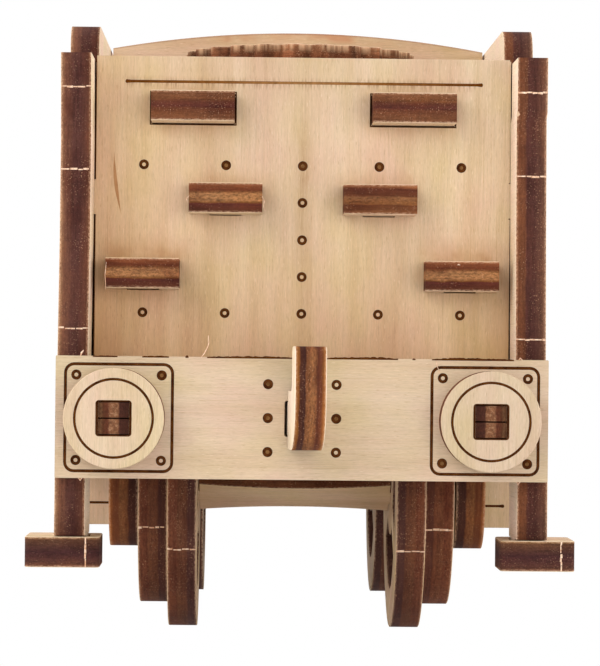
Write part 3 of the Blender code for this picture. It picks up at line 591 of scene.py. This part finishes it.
PANEL_RIVET_X = (-15.95, -7.7, 0.0, 7.7, 15.95)
PANEL_RIVET_Z = (47.85, 33.0)
PANEL_RIVETS = [(u, v) for u in PANEL_RIVET_X for v in PANEL_RIVET_Z]
PANEL_RIVETS += [(0.0, v) for v in (44.15, 40.4, 36.7)]
DECK_TENON_X = (-15.3, 6.8)
DECK_TENON_WIDTH = 8.5
DECK_TENON_Z = (51.95, 55.15)


def end_cutter(name, x, face_y, z, way, mat=BURN):
    """A cutter on a face that looks out of the near (-1) or far (1) end."""
    return Cutter(name, (x, face_y, z), (-way, 0.0, 0.0), Z, (0.0, way, 0.0), mat)


def panel_cut(name, face_y, way):
    cut = end_cutter(name, 0.0, face_y, 0.0, way)
    rivets(cut, PANEL_RIVETS)
    top_line = Cutter(name + "_line", cut.origin, *cut.axes, FAINT)
    top_line.prism([line_loop(-17.7, TOP_LINE, 17.85, TOP_LINE, LINE)], SINK)
    if way < 0:
        for u in DECK_TENON_X:
            burnt_rim(cut, u, DECK_TENON_Z[0], u + DECK_TENON_WIDTH, DECK_TENON_Z[1], 0.11)
    dark = smoked(cut, [(u, PANEL_RIVET_Z[0]) for u in PANEL_RIVET_X[1:]])
    return [cut.done(), dark.done(), top_line.done()]


# Half size, corner radius and line of the squares behind the buffers
BEAM_SQUARE = (5.2, 0.85, 0.3)
BEAM_SQUARE_X = 17.83
BEAM_RIVET_X = 3.33
BEAM_RIVET_Z = (26.0, 22.7, 19.4)
SQUARE_RIVET = 4.15


def beam_cut(name, face_y, way):
    cut = end_cutter(name, 0.0, face_y, 0.0, way)
    for sign in (-1.0, 1.0):
        centre = sign * BEAM_SQUARE_X
        cut.prism(square_loops(centre, BUFFER_Z, *BEAM_SQUARE), SINK)
        rivets(cut, [(centre + a * SQUARE_RIVET, BUFFER_Z + b * SQUARE_RIVET)
                     for a in (-1, 1) for b in (-1, 1)])
        rivets(cut, [(sign * BEAM_RIVET_X, v) for v in BEAM_RIVET_Z])
    places = [(-BEAM_RIVET_X, v) for v in BEAM_RIVET_Z]
    places += [(BEAM_RIVET_X, BEAM_RIVET_Z[1]), (-13.68, 26.75), (13.68, 18.45), (21.98, 18.45)]
    dark = smoked(cut, places)
    return [cut.done(), dark.done()]


# Radii of the buffer's ring; half size and corner radius of its hole's scorched rim
BUFFER_RING = (3.90, 3.65)
HOLE_RIM_OUTER = (1.745, 0.32)
HOLE_RIM_INNER = (1.55, 0.30)


def buffer_cut(name, x, face_y, way):
    """A buffer's ring, and the scorched rounded rim of its square hole."""
    cut = end_cutter(name, x * MM, face_y, BUFFER_Z * MM, way)
    cut.prism(ring_loops(0.0, 0.0, *BUFFER_RING, 64), SINK)
    outer = square_loops(0.0, 0.0, *HOLE_RIM_OUTER, 0.0)[0]
    inner = square_loops(0.0, 0.0, *HOLE_RIM_INNER, 0.0)[0]
    cut.prism([outer, inner], RIM_SINK)
    return [cut.done()]


BEARER_LINE = 12.1


def bearer_cut(name, face_y):
    cut = end_cutter(name, 0.0, face_y, 0.0, -1.0)
    for sign in (-1.0, 1.0):
        cut.prism([line_loop(sign * 17.2, BEARER_LINE, sign * 23.5, BEARER_LINE, LINE)], SINK)
    return [cut.done()]


WALL_LINE_HALF = 46.6
WALL_RIVET_Y = (-47.6, -36.0, -12.6, 0.7, 12.6, 30.0, 47.6)
WALL_RIVET_Z = (25.4, 38.4, 50.6)
PANEL_STRIPS = ((-43.74, -40.66), (40.66, 43.74))
PANEL_STRIP_Z = (28.0, 58.7)


def wall_cut(name, x, way):
    """Lines and rivets on a wall's outer face, and scorch inside where the end panels meet it."""
    cut = Cutter(name, (x, 0.0, 0.0), (0.0, way, 0.0), Z, (way, 0.0, 0.0), BURN)
    for v in (19.4, TOP_LINE):
        cut.prism([line_loop(way * -WALL_LINE_HALF, v, way * WALL_LINE_HALF, v, LINE)], SINK)
    rivets(cut, [(way * u, v) for u in WALL_RIVET_Y for v in WALL_RIVET_Z])
    slot = Cutter(name + "_slot", (x - way * PLY * MM, 0.0, 0.0), (0.0, -way, 0.0), Z,
                  (-way, 0.0, 0.0), BURN)
    v0, v1 = PANEL_STRIP_Z
    for y0, y1 in PANEL_STRIPS:
        u0, u1 = sorted((-way * y0, -way * y1))
        slot.prism([[(u0, v0), (u1, v0), (u1, v1), (u0, v1)]], 0.03)
    return [cut.done(), slot.done()]


# Dressing: each CAD plate gets a copy with eased rims, engraving and ply materials
rng = random.Random(7)


def paint(bm, faces, index):
    """Turns new faces outward and gives them one material."""
    bmesh.ops.recalc_face_normals(bm, faces=faces)
    for face in faces:
        face.material_index = index


def tab_box(bm, centre, out_axis, edge_axis, flat_axis, width):
    """A broken holding tab: an uneven pale ridge across a cut edge, in short lengths."""
    c = Vector(centre)
    o = Vector(out_axis).normalized()
    e = Vector(edge_axis).normalized()
    f = Vector(flat_axis).normalized()
    start = -TAB_REACH
    faces = []
    while start < 1.2:
        end = min(TAB_REACH, start + rng.uniform(0.35, 0.9))
        wide = width * rng.uniform(0.55, 1.25)
        shift = width * rng.uniform(-0.3, 0.3)
        corners = []
        for a, b in ((-1, start), (1, start), (1, end), (-1, end)):
            corners.append((e * ((a * wide * rng.uniform(0.7, 1.2) / 2 + shift) * MM), f * (b * MM)))
        low_ring = [bm.verts.new(c + e1 + f1 - o * TAB_ROOT * MM) for e1, f1 in corners]
        top_ring = [bm.verts.new(c + e1 * 0.7 + f1 + o * TAB_PROUD * rng.uniform(0.4, 1.2) * MM)
                    for e1, f1 in corners]
        faces += [bm.faces.new(top_ring), bm.faces.new(low_ring[::-1])]
        for i in range(4):
            j = (i + 1) % 4
            faces.append(bm.faces.new((low_ring[i], low_ring[j], top_ring[j], top_ring[i])))
        start = end + rng.uniform(0.0, 0.12)
    paint(bm, faces, ON_TAB)


def sliver(points, width):
    """A raised hair of wood through points in mm, tapering to its ends."""
    def grow(bm):
        rings = []
        last = len(points) - 1
        for i, p in enumerate(points):
            way = Vector(points[min(i + 1, last)]) - Vector(points[max(i - 1, 0)])
            side = way.cross(Vector((0.0, 1.0, 0.0))).normalized()
            lift = side.cross(way).normalized()
            r = width / 2 * (1.0 - 0.65 * abs(2.0 * i / last - 1.0) ** 2)
            ring = []
            for k in range(3):
                turn = math.radians(120.0 * k + 20.0 * i)
                spoke = side * math.cos(turn) + lift * math.sin(turn)
                ring.append(bm.verts.new((Vector(p) + spoke * r) * MM))
            rings.append(ring)
        faces = [bm.faces.new(rings[0]), bm.faces.new(rings[-1][::-1])]
        for a, b in zip(rings, rings[1:]):
            for k in range(3):
                m = (k + 1) % 3
                faces.append(bm.faces.new((a[k], a[m], b[m], b[k])))
        paint(bm, faces, ON_TAB)
    return grow


def ridge(x0, x1, y0, y1, z0, rise):
    """A ragged dark crest raised along an edge, running in X (mm)."""
    def grow(bm):
        count = max(2, int((x1 - x0) / 0.22))
        top = []
        for i in range(count + 1):
            taper = min(1.0, 0.25 + 3.0 * i / count, 0.25 + 3.0 * (count - i) / count)
            top.append((x0 + (x1 - x0) * i / count, z0 + rise * taper * rng.uniform(0.35, 1.0)))
        line = [(x0, z0 - 0.1)] + top + [(x1, z0 - 0.1)]
        front = [bm.verts.new((x * MM, y0 * MM, z * MM)) for x, z in line]
        back = [bm.verts.new((x * MM, y1 * MM, z * MM)) for x, z in line]
        faces = [bm.faces.new(front), bm.faces.new(back[::-1])]
        for i in range(len(line)):
            j = (i + 1) % len(line)
            faces.append(bm.faces.new((front[i], back[i], back[j], front[j])))
        paint(bm, faces, ON_BURN)
    return grow


def slab(x0, x1, y0, y1, z0, z1, index=ON_BURN):
    """A thin slab filling a gap, a little thinner at its back (mm)."""
    def grow(bm):
        shy = (x1 - x0) * 0.1
        rings = []
        for y, d in ((y0, 0.0), (y1, shy)):
            rings.append([bm.verts.new((x * MM, y * MM, z * MM)) for x, z in (
                (x0 + d, z0 + d), (x1 - d, z0 + d), (x1 - d, z1 - d), (x0 + d, z1 - d))])
        faces = [bm.faces.new(rings[0]), bm.faces.new(rings[1])]
        for i in range(4):
            j = (i + 1) % 4
            faces.append(bm.faces.new((rings[0][i], rings[0][j], rings[1][j], rings[1][i])))
        paint(bm, faces, index)
    return grow


def bow_at(bow, z):
    """How far a slightly sprung plate stands off its plane at one height."""
    for (z0, d0), (z1, d1) in zip(bow, bow[1:]):
        if z <= z1:
            return d0 + (d1 - d0) * max(0.0, z - z0) / (z1 - z0)
    return bow[-1][1]


# Angles in degrees, and how far a face's normal may lean from the plate's
MERGE_ANGLE = 0.4
SHARP_ANGLE = 24.0
FLAT_LEAN = 0.9
EDGE_LEAN = 0.35


def dress(node, body, normal, grain, tint=1.0, edge=None, face=None, cut=(), tabs=(), extra=(),
          bow=(), ease=0.06, back=None):
    """A dressed copy of one CAD plate that stands for it."""
    face = face or PANEL
    edge = edge or EDGE_TENON
    up = Vector(normal).normalized()
    along = Vector(grain).normalized()
    across = up.cross(along).normalized()
    bm = bmesh.new()
    bm.from_mesh(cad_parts[node].data)
    bm.transform(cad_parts[node].matrix_world)
    bmesh.ops.remove_doubles(bm, verts=bm.verts, dist=2e-7)
    bmesh.ops.recalc_face_normals(bm, faces=bm.faces)
    bmesh.ops.dissolve_limit(bm, angle_limit=math.radians(MERGE_ANGLE), verts=bm.verts, edges=bm.edges)
    for z, _ in bow[1:-1]:
        bmesh.ops.bisect_plane(bm, geom=bm.verts[:] + bm.edges[:] + bm.faces[:], dist=1e-7,
                               plane_co=(0.0, 0.0, z * MM), plane_no=(0.0, 0.0, 1.0))
    rims = []
    for line in bm.edges:
        if len(line.link_faces) == 2:
            flat = [abs(f.normal.dot(up)) > FLAT_LEAN for f in line.link_faces]
            if flat[0] != flat[1]:
                rims.append(line)
    bmesh.ops.bevel(bm, geom=rims, offset=ease * MM, offset_type="OFFSET", segments=1,
                    affect="EDGES", clamp_overlap=True)
    for f in bm.faces:
        lean = f.normal.dot(up)
        if abs(lean) < EDGE_LEAN:
            f.material_index = ON_EDGE
        else:
            f.material_index = ON_BACK if back and lean < 0.0 else ON_FACE
    heights = [v.co.dot(up) for v in bm.verts]
    middle = (min(heights) + max(heights)) / 2
    mesh = bpy.data.meshes.new("ply_" + node)
    bm.to_mesh(mesh)
    bm.free()
    for mat in (face, edge, BURN, TAB, STREAK, SMOKE, back or face):
        mesh.materials.append(mat)
    obj = bpy.data.objects.new("ply_" + node, mesh)
    bpy.context.scene.collection.objects.link(obj)
    for cutter in cut:
        mod = obj.modifiers.new("engrave", "BOOLEAN")
        mod.operation = "DIFFERENCE"
        mod.solver = "EXACT"
        mod.material_mode = "TRANSFER"
        mod.object = cutter
    if cut:
        bpy.context.view_layer.update()
        deps = bpy.context.evaluated_depsgraph_get()
        made = bpy.data.meshes.new_from_object(obj.evaluated_get(deps))
        obj.modifiers.clear()
        obj.data = made
        made.name = "ply_" + node
        bpy.data.meshes.remove(mesh)
        mesh = made
        for cutter in cut:
            bpy.data.objects.remove(cutter, do_unlink=True)
    if tabs or extra:
        bm = bmesh.new()
        bm.from_mesh(mesh)
        for item in tabs:
            tab_box(bm, *item)
        for grow in extra:
            grow(bm)
        bm.to_mesh(mesh)
        bm.free()
    seed = rng.random() * 40.0
    for name, kind in (("spot", "FLOAT_VECTOR"), ("lay", "FLOAT_VECTOR"), ("tint", "FLOAT")):
        mesh.attributes.new(name, kind, "POINT")
    spot = mesh.attributes["spot"]
    lay = mesh.attributes["lay"]
    tint_layer = mesh.attributes["tint"]
    tone = tint * (1.0 + rng.uniform(-0.02, 0.02))
    for i, vert in enumerate(mesh.vertices):
        co = vert.co
        lay.data[i].vector = (co.dot(along) / MM + seed * 31.0, co.dot(across) / MM + seed * 17.0,
                              (co.dot(up) - middle) / MM)
        tint_layer.data[i].value = tone
        spot.data[i].vector = co / MM
    # Below the beam the bow fades away from the car's ends
    for vert in mesh.vertices if bow else ():
        z = vert.co.z / MM
        blend = min(1.0, max(0.0, (28.0 - z) / 11.0))
        front = min(1.0, max(0.5, (abs(vert.co.y / MM) - 43.5) / 6.6))
        vert.co += up * (bow_at(bow, z) * (1.0 - blend * (1.0 - front)) * MM)
    mesh.set_sharp_from_angle(angle=math.radians(SHARP_ANGLE))
    for poly in mesh.polygons:
        poly.use_smooth = poly.material_index == ON_EDGE
    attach(obj, body)
    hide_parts(node)


def end_face(node, way):
    """Where a node's outer face lies along the car, at the near (-1) or far (1) end."""
    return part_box(node)[0][1] if way < 0 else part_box(node)[1][1]


FRONT = end_face("buffer_beam_near", -1.0) / MM
STEP_FRONT = end_face("step_mid_left", -1.0) / MM
BEAM_CREST = 28.58
BEAM_GROWTHS = [ridge(a, b, FRONT - 0.01, FRONT + 0.3, BEAM_CREST, h) for a, b, h in (
    (-9.3, -1.0, 0.17), (2.3, 9.3, 0.2), (10.7, 11.0, 0.16), (12.6, 20.6, 0.2), (-11.4, -11.1, 0.2),
    (-15.6, -13.0, 0.1), (-20.4, -18.0, 0.07))]
BEAM_GROWTHS += [
    sliver([(-9.9, FRONT, 28.5), (-9.55, FRONT - 0.1, 28.95), (-9.3, FRONT - 0.15, 29.45),
            (-9.15, FRONT - 0.1, 29.95), (-9.2, FRONT + 0.1, 30.7)], 0.12),
    sliver([(13.0, FRONT - 0.02, 28.5), (13.1, FRONT - 0.06, 27.95), (13.4, FRONT - 0.02, 27.2)], 0.09),
    sliver([(-21.6, FRONT + 0.05, 28.5), (-21.5, FRONT, 28.85), (-21.3, FRONT, 29.15)], 0.22),
    sliver([(21.0, FRONT + 0.05, 28.5), (21.2, FRONT, 28.75), (21.5, FRONT + 0.05, 28.55)], 0.2),
    sliver([(-21.8, FRONT + 0.05, 16.8), (-21.5, FRONT, 16.5), (-21.25, FRONT + 0.05, 16.8)], 0.22),
    sliver([(20.95, FRONT + 0.05, 16.75), (21.1, FRONT, 16.45), (21.35, FRONT + 0.05, 16.75)], 0.24),
]
STEP_GROWTHS = {
    ("mid", "left"): [
        sliver([(-4.1, STEP_FRONT, 44.6), (-3.85, STEP_FRONT - 0.05, 44.1),
                (-3.95, STEP_FRONT - 0.05, 43.6), (-3.75, STEP_FRONT + 0.1, 43.1)], 0.13),
        sliver([(-11.3, STEP_FRONT, 44.6), (-11.6, STEP_FRONT - 0.05, 44.25),
                (-11.4, STEP_FRONT, 43.8)], 0.16),
    ],
    ("low", "left"): [
        sliver([(-19.45, STEP_FRONT, 37.9), (-19.52, STEP_FRONT - 0.05, 37.3),
                (-19.56, STEP_FRONT - 0.05, 36.6), (-19.5, STEP_FRONT, 36.0),
                (-19.47, STEP_FRONT, 35.2)], 0.12),
    ],
    ("low", "right"): [
        sliver([(15.4, STEP_FRONT - 0.01, 37.95), (15.52, STEP_FRONT - 0.1, 38.0),
                (15.66, STEP_FRONT - 0.01, 37.95)], 0.2),
    ],
}
# Height and offset of the sprung side walls
WALL_BOW = {
    "left": ((10.0, 0.30), (16.8, 0.28), (28.0, 0.14), (40.0, 0.04), (50.0, 0.02), (66.0, 0.17)),
    "right": ((10.0, 0.42), (16.8, 0.40), (28.0, 0.13), (40.0, 0.04), (52.3, -0.02), (53.0, 0.07),
              (66.0, 0.09)),
}


def post_tabs(node, x_mid, heights):
    """Tab marks on a wall's end edges and along its long edges."""
    y = end_face(node, -1.0)
    out = [((x_mid, y, z * MM), (0, -1, 0), Z, X, TAB_WIDTH) for z in heights]
    out += [((x_mid, -y, z * MM), (0, 1, 0), Z, X, TAB_WIDTH) for z in (54.6, 40.2, 24.0)]
    out += [((x_mid, s * MM, WALL_HEAD * MM), Z, Y, X, TAB_WIDTH) for s in (-22.0, 6.0, 33.0)]
    out += [((x_mid, s * MM, WALL_FOOT * MM), (0, 0, -1), Y, X, TAB_WIDTH) for s in (-30.0, 12.0, 34.0)]
    return out


def tenon_char_and_shade(node, sign):
    """Dark slabs beside the frame's tenons, where they pass the buffers: charred hole walls, and
    painted shade in the gaps.
    """
    out = []
    for way in (-1.0, 1.0):
        y = end_face(node, way) / MM
        for a in (-1.0, 1.0):
            x0, x1 = sorted((sign * BUFFER_X + a * 1.49, sign * BUFFER_X + a * 1.605))
            out.append(slab(x0, x1, y - way * 0.15, y - way * 1.2, BUFFER_Z - 1.52, BUFFER_Z + 1.52))
    return out


def side_char(face_y, way):
    """Char left along both side edges of an end panel."""
    out = []
    for z0, z1 in ((28.6, 42.7), (46.4, 58.6)):
        for a in (-1.0, 1.0):
            x0, x1 = sorted((a * 20.74, a * (20.85 - 0.02 * way * a)))
            index = ON_FACE if way * a < 0 else ON_BURN
            out.append(slab(x0, x1, face_y - way * 0.03, face_y - way * 1.0, z0, z1, index))
    return out


for side, sign in SIDES:
    wall = "side_wall_" + side
    mid = sign * WALL_MIDDLE * MM
    marks = (55.05, 46.9, 31.3) if sign < 0 else (54.95, 46.65, 30.6)
    outward = (sign, 0.0, 0.0)
    post = EDGE_POST_LEFT if sign < 0 else EDGE_POST_RIGHT
    chip = []
    if sign > 0:
        nick = end_cutter("cut_chip", 0.0, end_face(wall, -1.0), 0.0, -1.0, PALE)
        nick.prism([[(20.7, 52.4), (21.1, 52.65), (21.2, 52.8), (20.98, 53.1), (20.7, 53.3)]], 0.45)
        chip.append(nick.done())
    dress(wall, CAR, outward, Y, 1.04, post, PALE,
          wall_cut("cut_" + wall, sign * WALL_OUTER * MM, sign) + chip, post_tabs(wall, mid, marks),
          bow=WALL_BOW[side], back=WALL_INNER_LIT)
    side_frame = "side_frame_" + side
    dress(side_frame, CAR, outward, Y, 0.95, EDGE_FRAME,
          extra=tenon_char_and_shade(side_frame, sign), ease=0.005)

near_y = end_face("end_panel_near", -1.0)
far_y = end_face("end_panel_far", 1.0)
near_cut = panel_cut("cut_panel_near", near_y, -1.0)
knot = end_cutter("cut_streak", 0.0, near_y, 0.0, -1.0, STREAK)
knot.prism([spindle_loop(-18.95, 49.1, 42.7, 0.36, 0.8)], 0.02)
dress("end_panel_near", CAR, Y, Z, 1.0, None, PANEL_STAINED_SHADED, near_cut + [knot.done()],
      extra=side_char(near_y / MM, -1.0))
dress("end_panel_far", CAR, Y, Z, 1.0, cut=panel_cut("cut_panel_far", far_y, 1.0),
      extra=side_char(far_y / MM, 1.0))
dress("bulkhead", CAR, Y, X, 0.96, None, PANEL_ARCH)
dress("cross_bearer", CAR, Y, Z, 1.0, EDGE_TENON,
      cut=bearer_cut("cut_bearer", end_face("cross_bearer", -1.0)))
dress("floor", CAR, Z, Y, 1.0)
dress("deck", CAR, Z, Y, 1.04, EDGE_TENON, PALE)
dress("cap_neck", CAR, Z, X, 1.0)
for place in ("mid", "low"):
    for side, sign in SIDES:
        edge = EDGE_DULL if (place, side) == ("mid", "right") else EDGE_STEP
        dress("step_%s_%s" % (place, side), CAR, Z, X, 1.06, edge, PALE,
              extra=STEP_GROWTHS.get((place, side), ()))

hook_turn = Matrix.Rotation(math.radians(HOOK_TURN), 3, "Z")
axle_tilt = Matrix.Rotation(math.radians(AXLE_TILT), 3, "X")
for end, way in ENDS:
    beam = "buffer_beam_" + end
    dress(beam, CAR, Y, X, 0.91, EDGE_TENON, PALE,
          beam_cut("cut_" + beam, end_face(beam, way), way), extra=BEAM_GROWTHS if way < 0 else ())
    for side, sign in SIDES:
        buffer = "buffer_%s_%s" % (end, side)
        dress(buffer, CAR, Y, Z, 0.93 if sign < 0 else 0.86, EDGE_TENON, PALE,
              buffer_cut("cut_" + buffer, sign * BUFFER_X, end_face(buffer, way), way))
        foot = "footstep_%s_%s" % (end, side)
        x_tab = (-21.1 if sign < 0 else 25.7) * MM
        mark = [((x_tab, end_face(foot, way), FOOT_Z * MM), (0, way, 0), X, Z, TAB_WIDTH)]
        dress(foot, CAR, Z, X, 1.04, EDGE_FOOT, PALE, tabs=mark)
    coupling = "coupling_" + end
    dress("hook_" + end, coupling, hook_turn @ Vector(X), Z, 1.08, EDGE_HOOK, WHITE)
    dress("hook_key_" + end, coupling, hook_turn @ Vector(Y), Z, 0.95)

    body = "wheelset_" + end
    dress("axle_" + end, body, axle_tilt @ Vector(Z), X, 1.1)
    for side, sign in SIDES:
        for name, radius, marks, x_mid in (("flange", 15.0, (24.0, 150.0, 268.0), 11.7),
                                           ("tread", 12.5, (18.6, 132.0, 246.0), 14.75)):
            tabs = []
            for mark in marks:
                a = math.radians(mark - 22.0 * (1.0 + way))
                out = Vector((0.0, -math.cos(a), -math.sin(a)))
                centre = Vector((sign * x_mid - 0.2, way * AXLE_Y, AXLE_Z)) * MM + out * radius * MM
                tabs.append((centre, out, out.cross(Vector(X)), X, TAB_WIDTH))
            wheel = "%s_%s_%s" % (name, end, side)
            edge = EDGE_WHEEL_LIT if (name, side) == ("tread", "right") else EDGE_WHEEL
            # The far wheels' darker tint is painted shade.
            dress(wheel, body, (sign, 0.0, 0.0), axle_tilt @ Vector(Y), 0.86 - 0.11 * way,
                  edge, tabs=tabs)

cap_turn = Matrix.Rotation(math.radians(CAP_TURN), 3, "Z")
dress("filler_cap", "filler", Z, X, 1.0, EDGE_CAP)
dress("cap_pin", "filler", cap_turn @ Vector(Y), Z, 0.95)


def seen_directly(tree):
    """1 for camera, glossy and transmission rays, and 0 for all others."""
    ray = tree.nodes.new("ShaderNodeLightPath")
    share = ray.outputs["Is Camera Ray"]
    for kind in ("Is Glossy Ray", "Is Transmission Ray"):
        larger = tree.nodes.new("ShaderNodeMath")
        larger.operation = "MAXIMUM"
        tree.links.new(share, larger.inputs[0])
        tree.links.new(ray.outputs[kind], larger.inputs[1])
        share = larger.outputs[0]
    return share


# Floor: white to the camera, a pale bounce surface for everything else
FLOOR_HALF = 3.0
FLOOR_Z = -0.0004
floor_mesh = bpy.data.meshes.new("studio_floor")
floor_mesh.from_pydata([(a * FLOOR_HALF, b * FLOOR_HALF, FLOOR_Z)
                        for a, b in ((-1, -1), (1, -1), (1, 1), (-1, 1))], [], [(0, 1, 2, 3)])
floor = bpy.data.objects.new("studio_floor", floor_mesh)
bpy.context.scene.collection.objects.link(floor)
fl = Nodes("studio_white")
fl.bsdf.inputs["Base Color"].default_value = (0.86, 0.86, 0.86, 1.0)
fl.bsdf.inputs["Roughness"].default_value = 0.9
fl.bsdf.inputs["Specular IOR Level"].default_value = 0.0
glow = fl.add("ShaderNodeEmission")
glow.inputs["Color"].default_value = FULL
glow.inputs["Strength"].default_value = 1.0
swap = fl.add("ShaderNodeMixShader")
fl.link(seen_directly(fl.tree), swap.inputs[0])
fl.link(fl.bsdf.outputs[0], swap.inputs[1])
fl.link(glow.outputs[0], swap.inputs[2])
fl.link(swap.outputs[0], fl.tree.nodes["Material Output"].inputs["Surface"])
floor_mesh.materials.append(fl.mat)

# World and lights
WORLD_LEVEL = 0.52
world = bpy.data.worlds.new("studio")
bpy.context.scene.world = world
world.use_nodes = True
tree = world.node_tree
back = tree.nodes["Background"]
back.inputs["Color"].default_value = FULL
back.inputs["Strength"].default_value = WORLD_LEVEL
seen = tree.nodes.new("ShaderNodeBackground")
seen.inputs["Color"].default_value = FULL
seen.inputs["Strength"].default_value = 1.0
pick = tree.nodes.new("ShaderNodeMixShader")
tree.links.new(seen_directly(tree), pick.inputs[0])
tree.links.new(back.outputs[0], pick.inputs[1])
tree.links.new(seen.outputs[0], pick.inputs[2])
tree.links.new(pick.outputs[0], tree.nodes["World Output"].inputs["Surface"])


LAMP_COLOUR = (1.0, 0.985, 0.96)


def area(name, place, target, size, power):
    """A round lamp aimed at a target, placed and sized in metres, with its power in watts."""
    light = bpy.data.lights.new(name, "AREA")
    light.shape = "DISK"
    light.size = size
    light.energy = power
    light.color = LAMP_COLOUR
    obj = bpy.data.objects.new(name, light)
    obj.location = place
    obj.rotation_euler = (Vector(target) - Vector(place)).to_track_quat("-Z", "Y").to_euler()
    bpy.context.scene.collection.objects.link(obj)


area("key", (-0.28, -0.42, 0.31), (0.0, -0.03, 0.03), 0.42, 1.11)
area("fill", (0.16, -0.50, 0.03), (0.0, -0.03, 0.045), 0.40, 1.25)
area("top", (0.0, 0.10, 0.55), (0.0, 0.0, 0.03), 0.40, 1.0)
area("side_left", (-0.50, -0.065, 0.13), (0.0, -0.05, 0.04), 0.18, 1.2)
area("side_right", (0.50, -0.065, 0.13), (0.0, -0.05, 0.04), 0.18, 1.2)

# Camera: 300 mm in front of the posts, aimed a degree off the car's axis as in the photograph
PICTURE = (600.0, 666.0)
F_PX = 3051.0
VANISH = (245.56, 354.0)
SENSOR = 36.0
EYE = (-5.58 * MM, -350.15 * MM, 28.97 * MM)
ROLL = math.radians(0.587)
camera = bpy.data.cameras.new("camera")
camera.sensor_fit = "VERTICAL"
camera.sensor_height = SENSOR
camera.lens = F_PX / PICTURE[1] * SENSOR
camera.clip_start = 0.01
eye = bpy.data.objects.new("camera", camera)
yaw = math.atan2(PICTURE[0] / 2 - VANISH[0], F_PX)
pitch = math.atan2(VANISH[1] - PICTURE[1] / 2, F_PX)
aim = Matrix.Rotation(-yaw, 3, "Z") @ Matrix.Rotation(math.pi / 2 + pitch, 3, "X")
aim = aim @ Matrix.Rotation(ROLL, 3, "Z")
eye.matrix_world = Matrix.Translation(EYE) @ aim.to_4x4()
bpy.context.scene.collection.objects.link(eye)
bpy.context.scene.camera = eye
bpy.context.scene.view_settings.view_transform = "Standard"
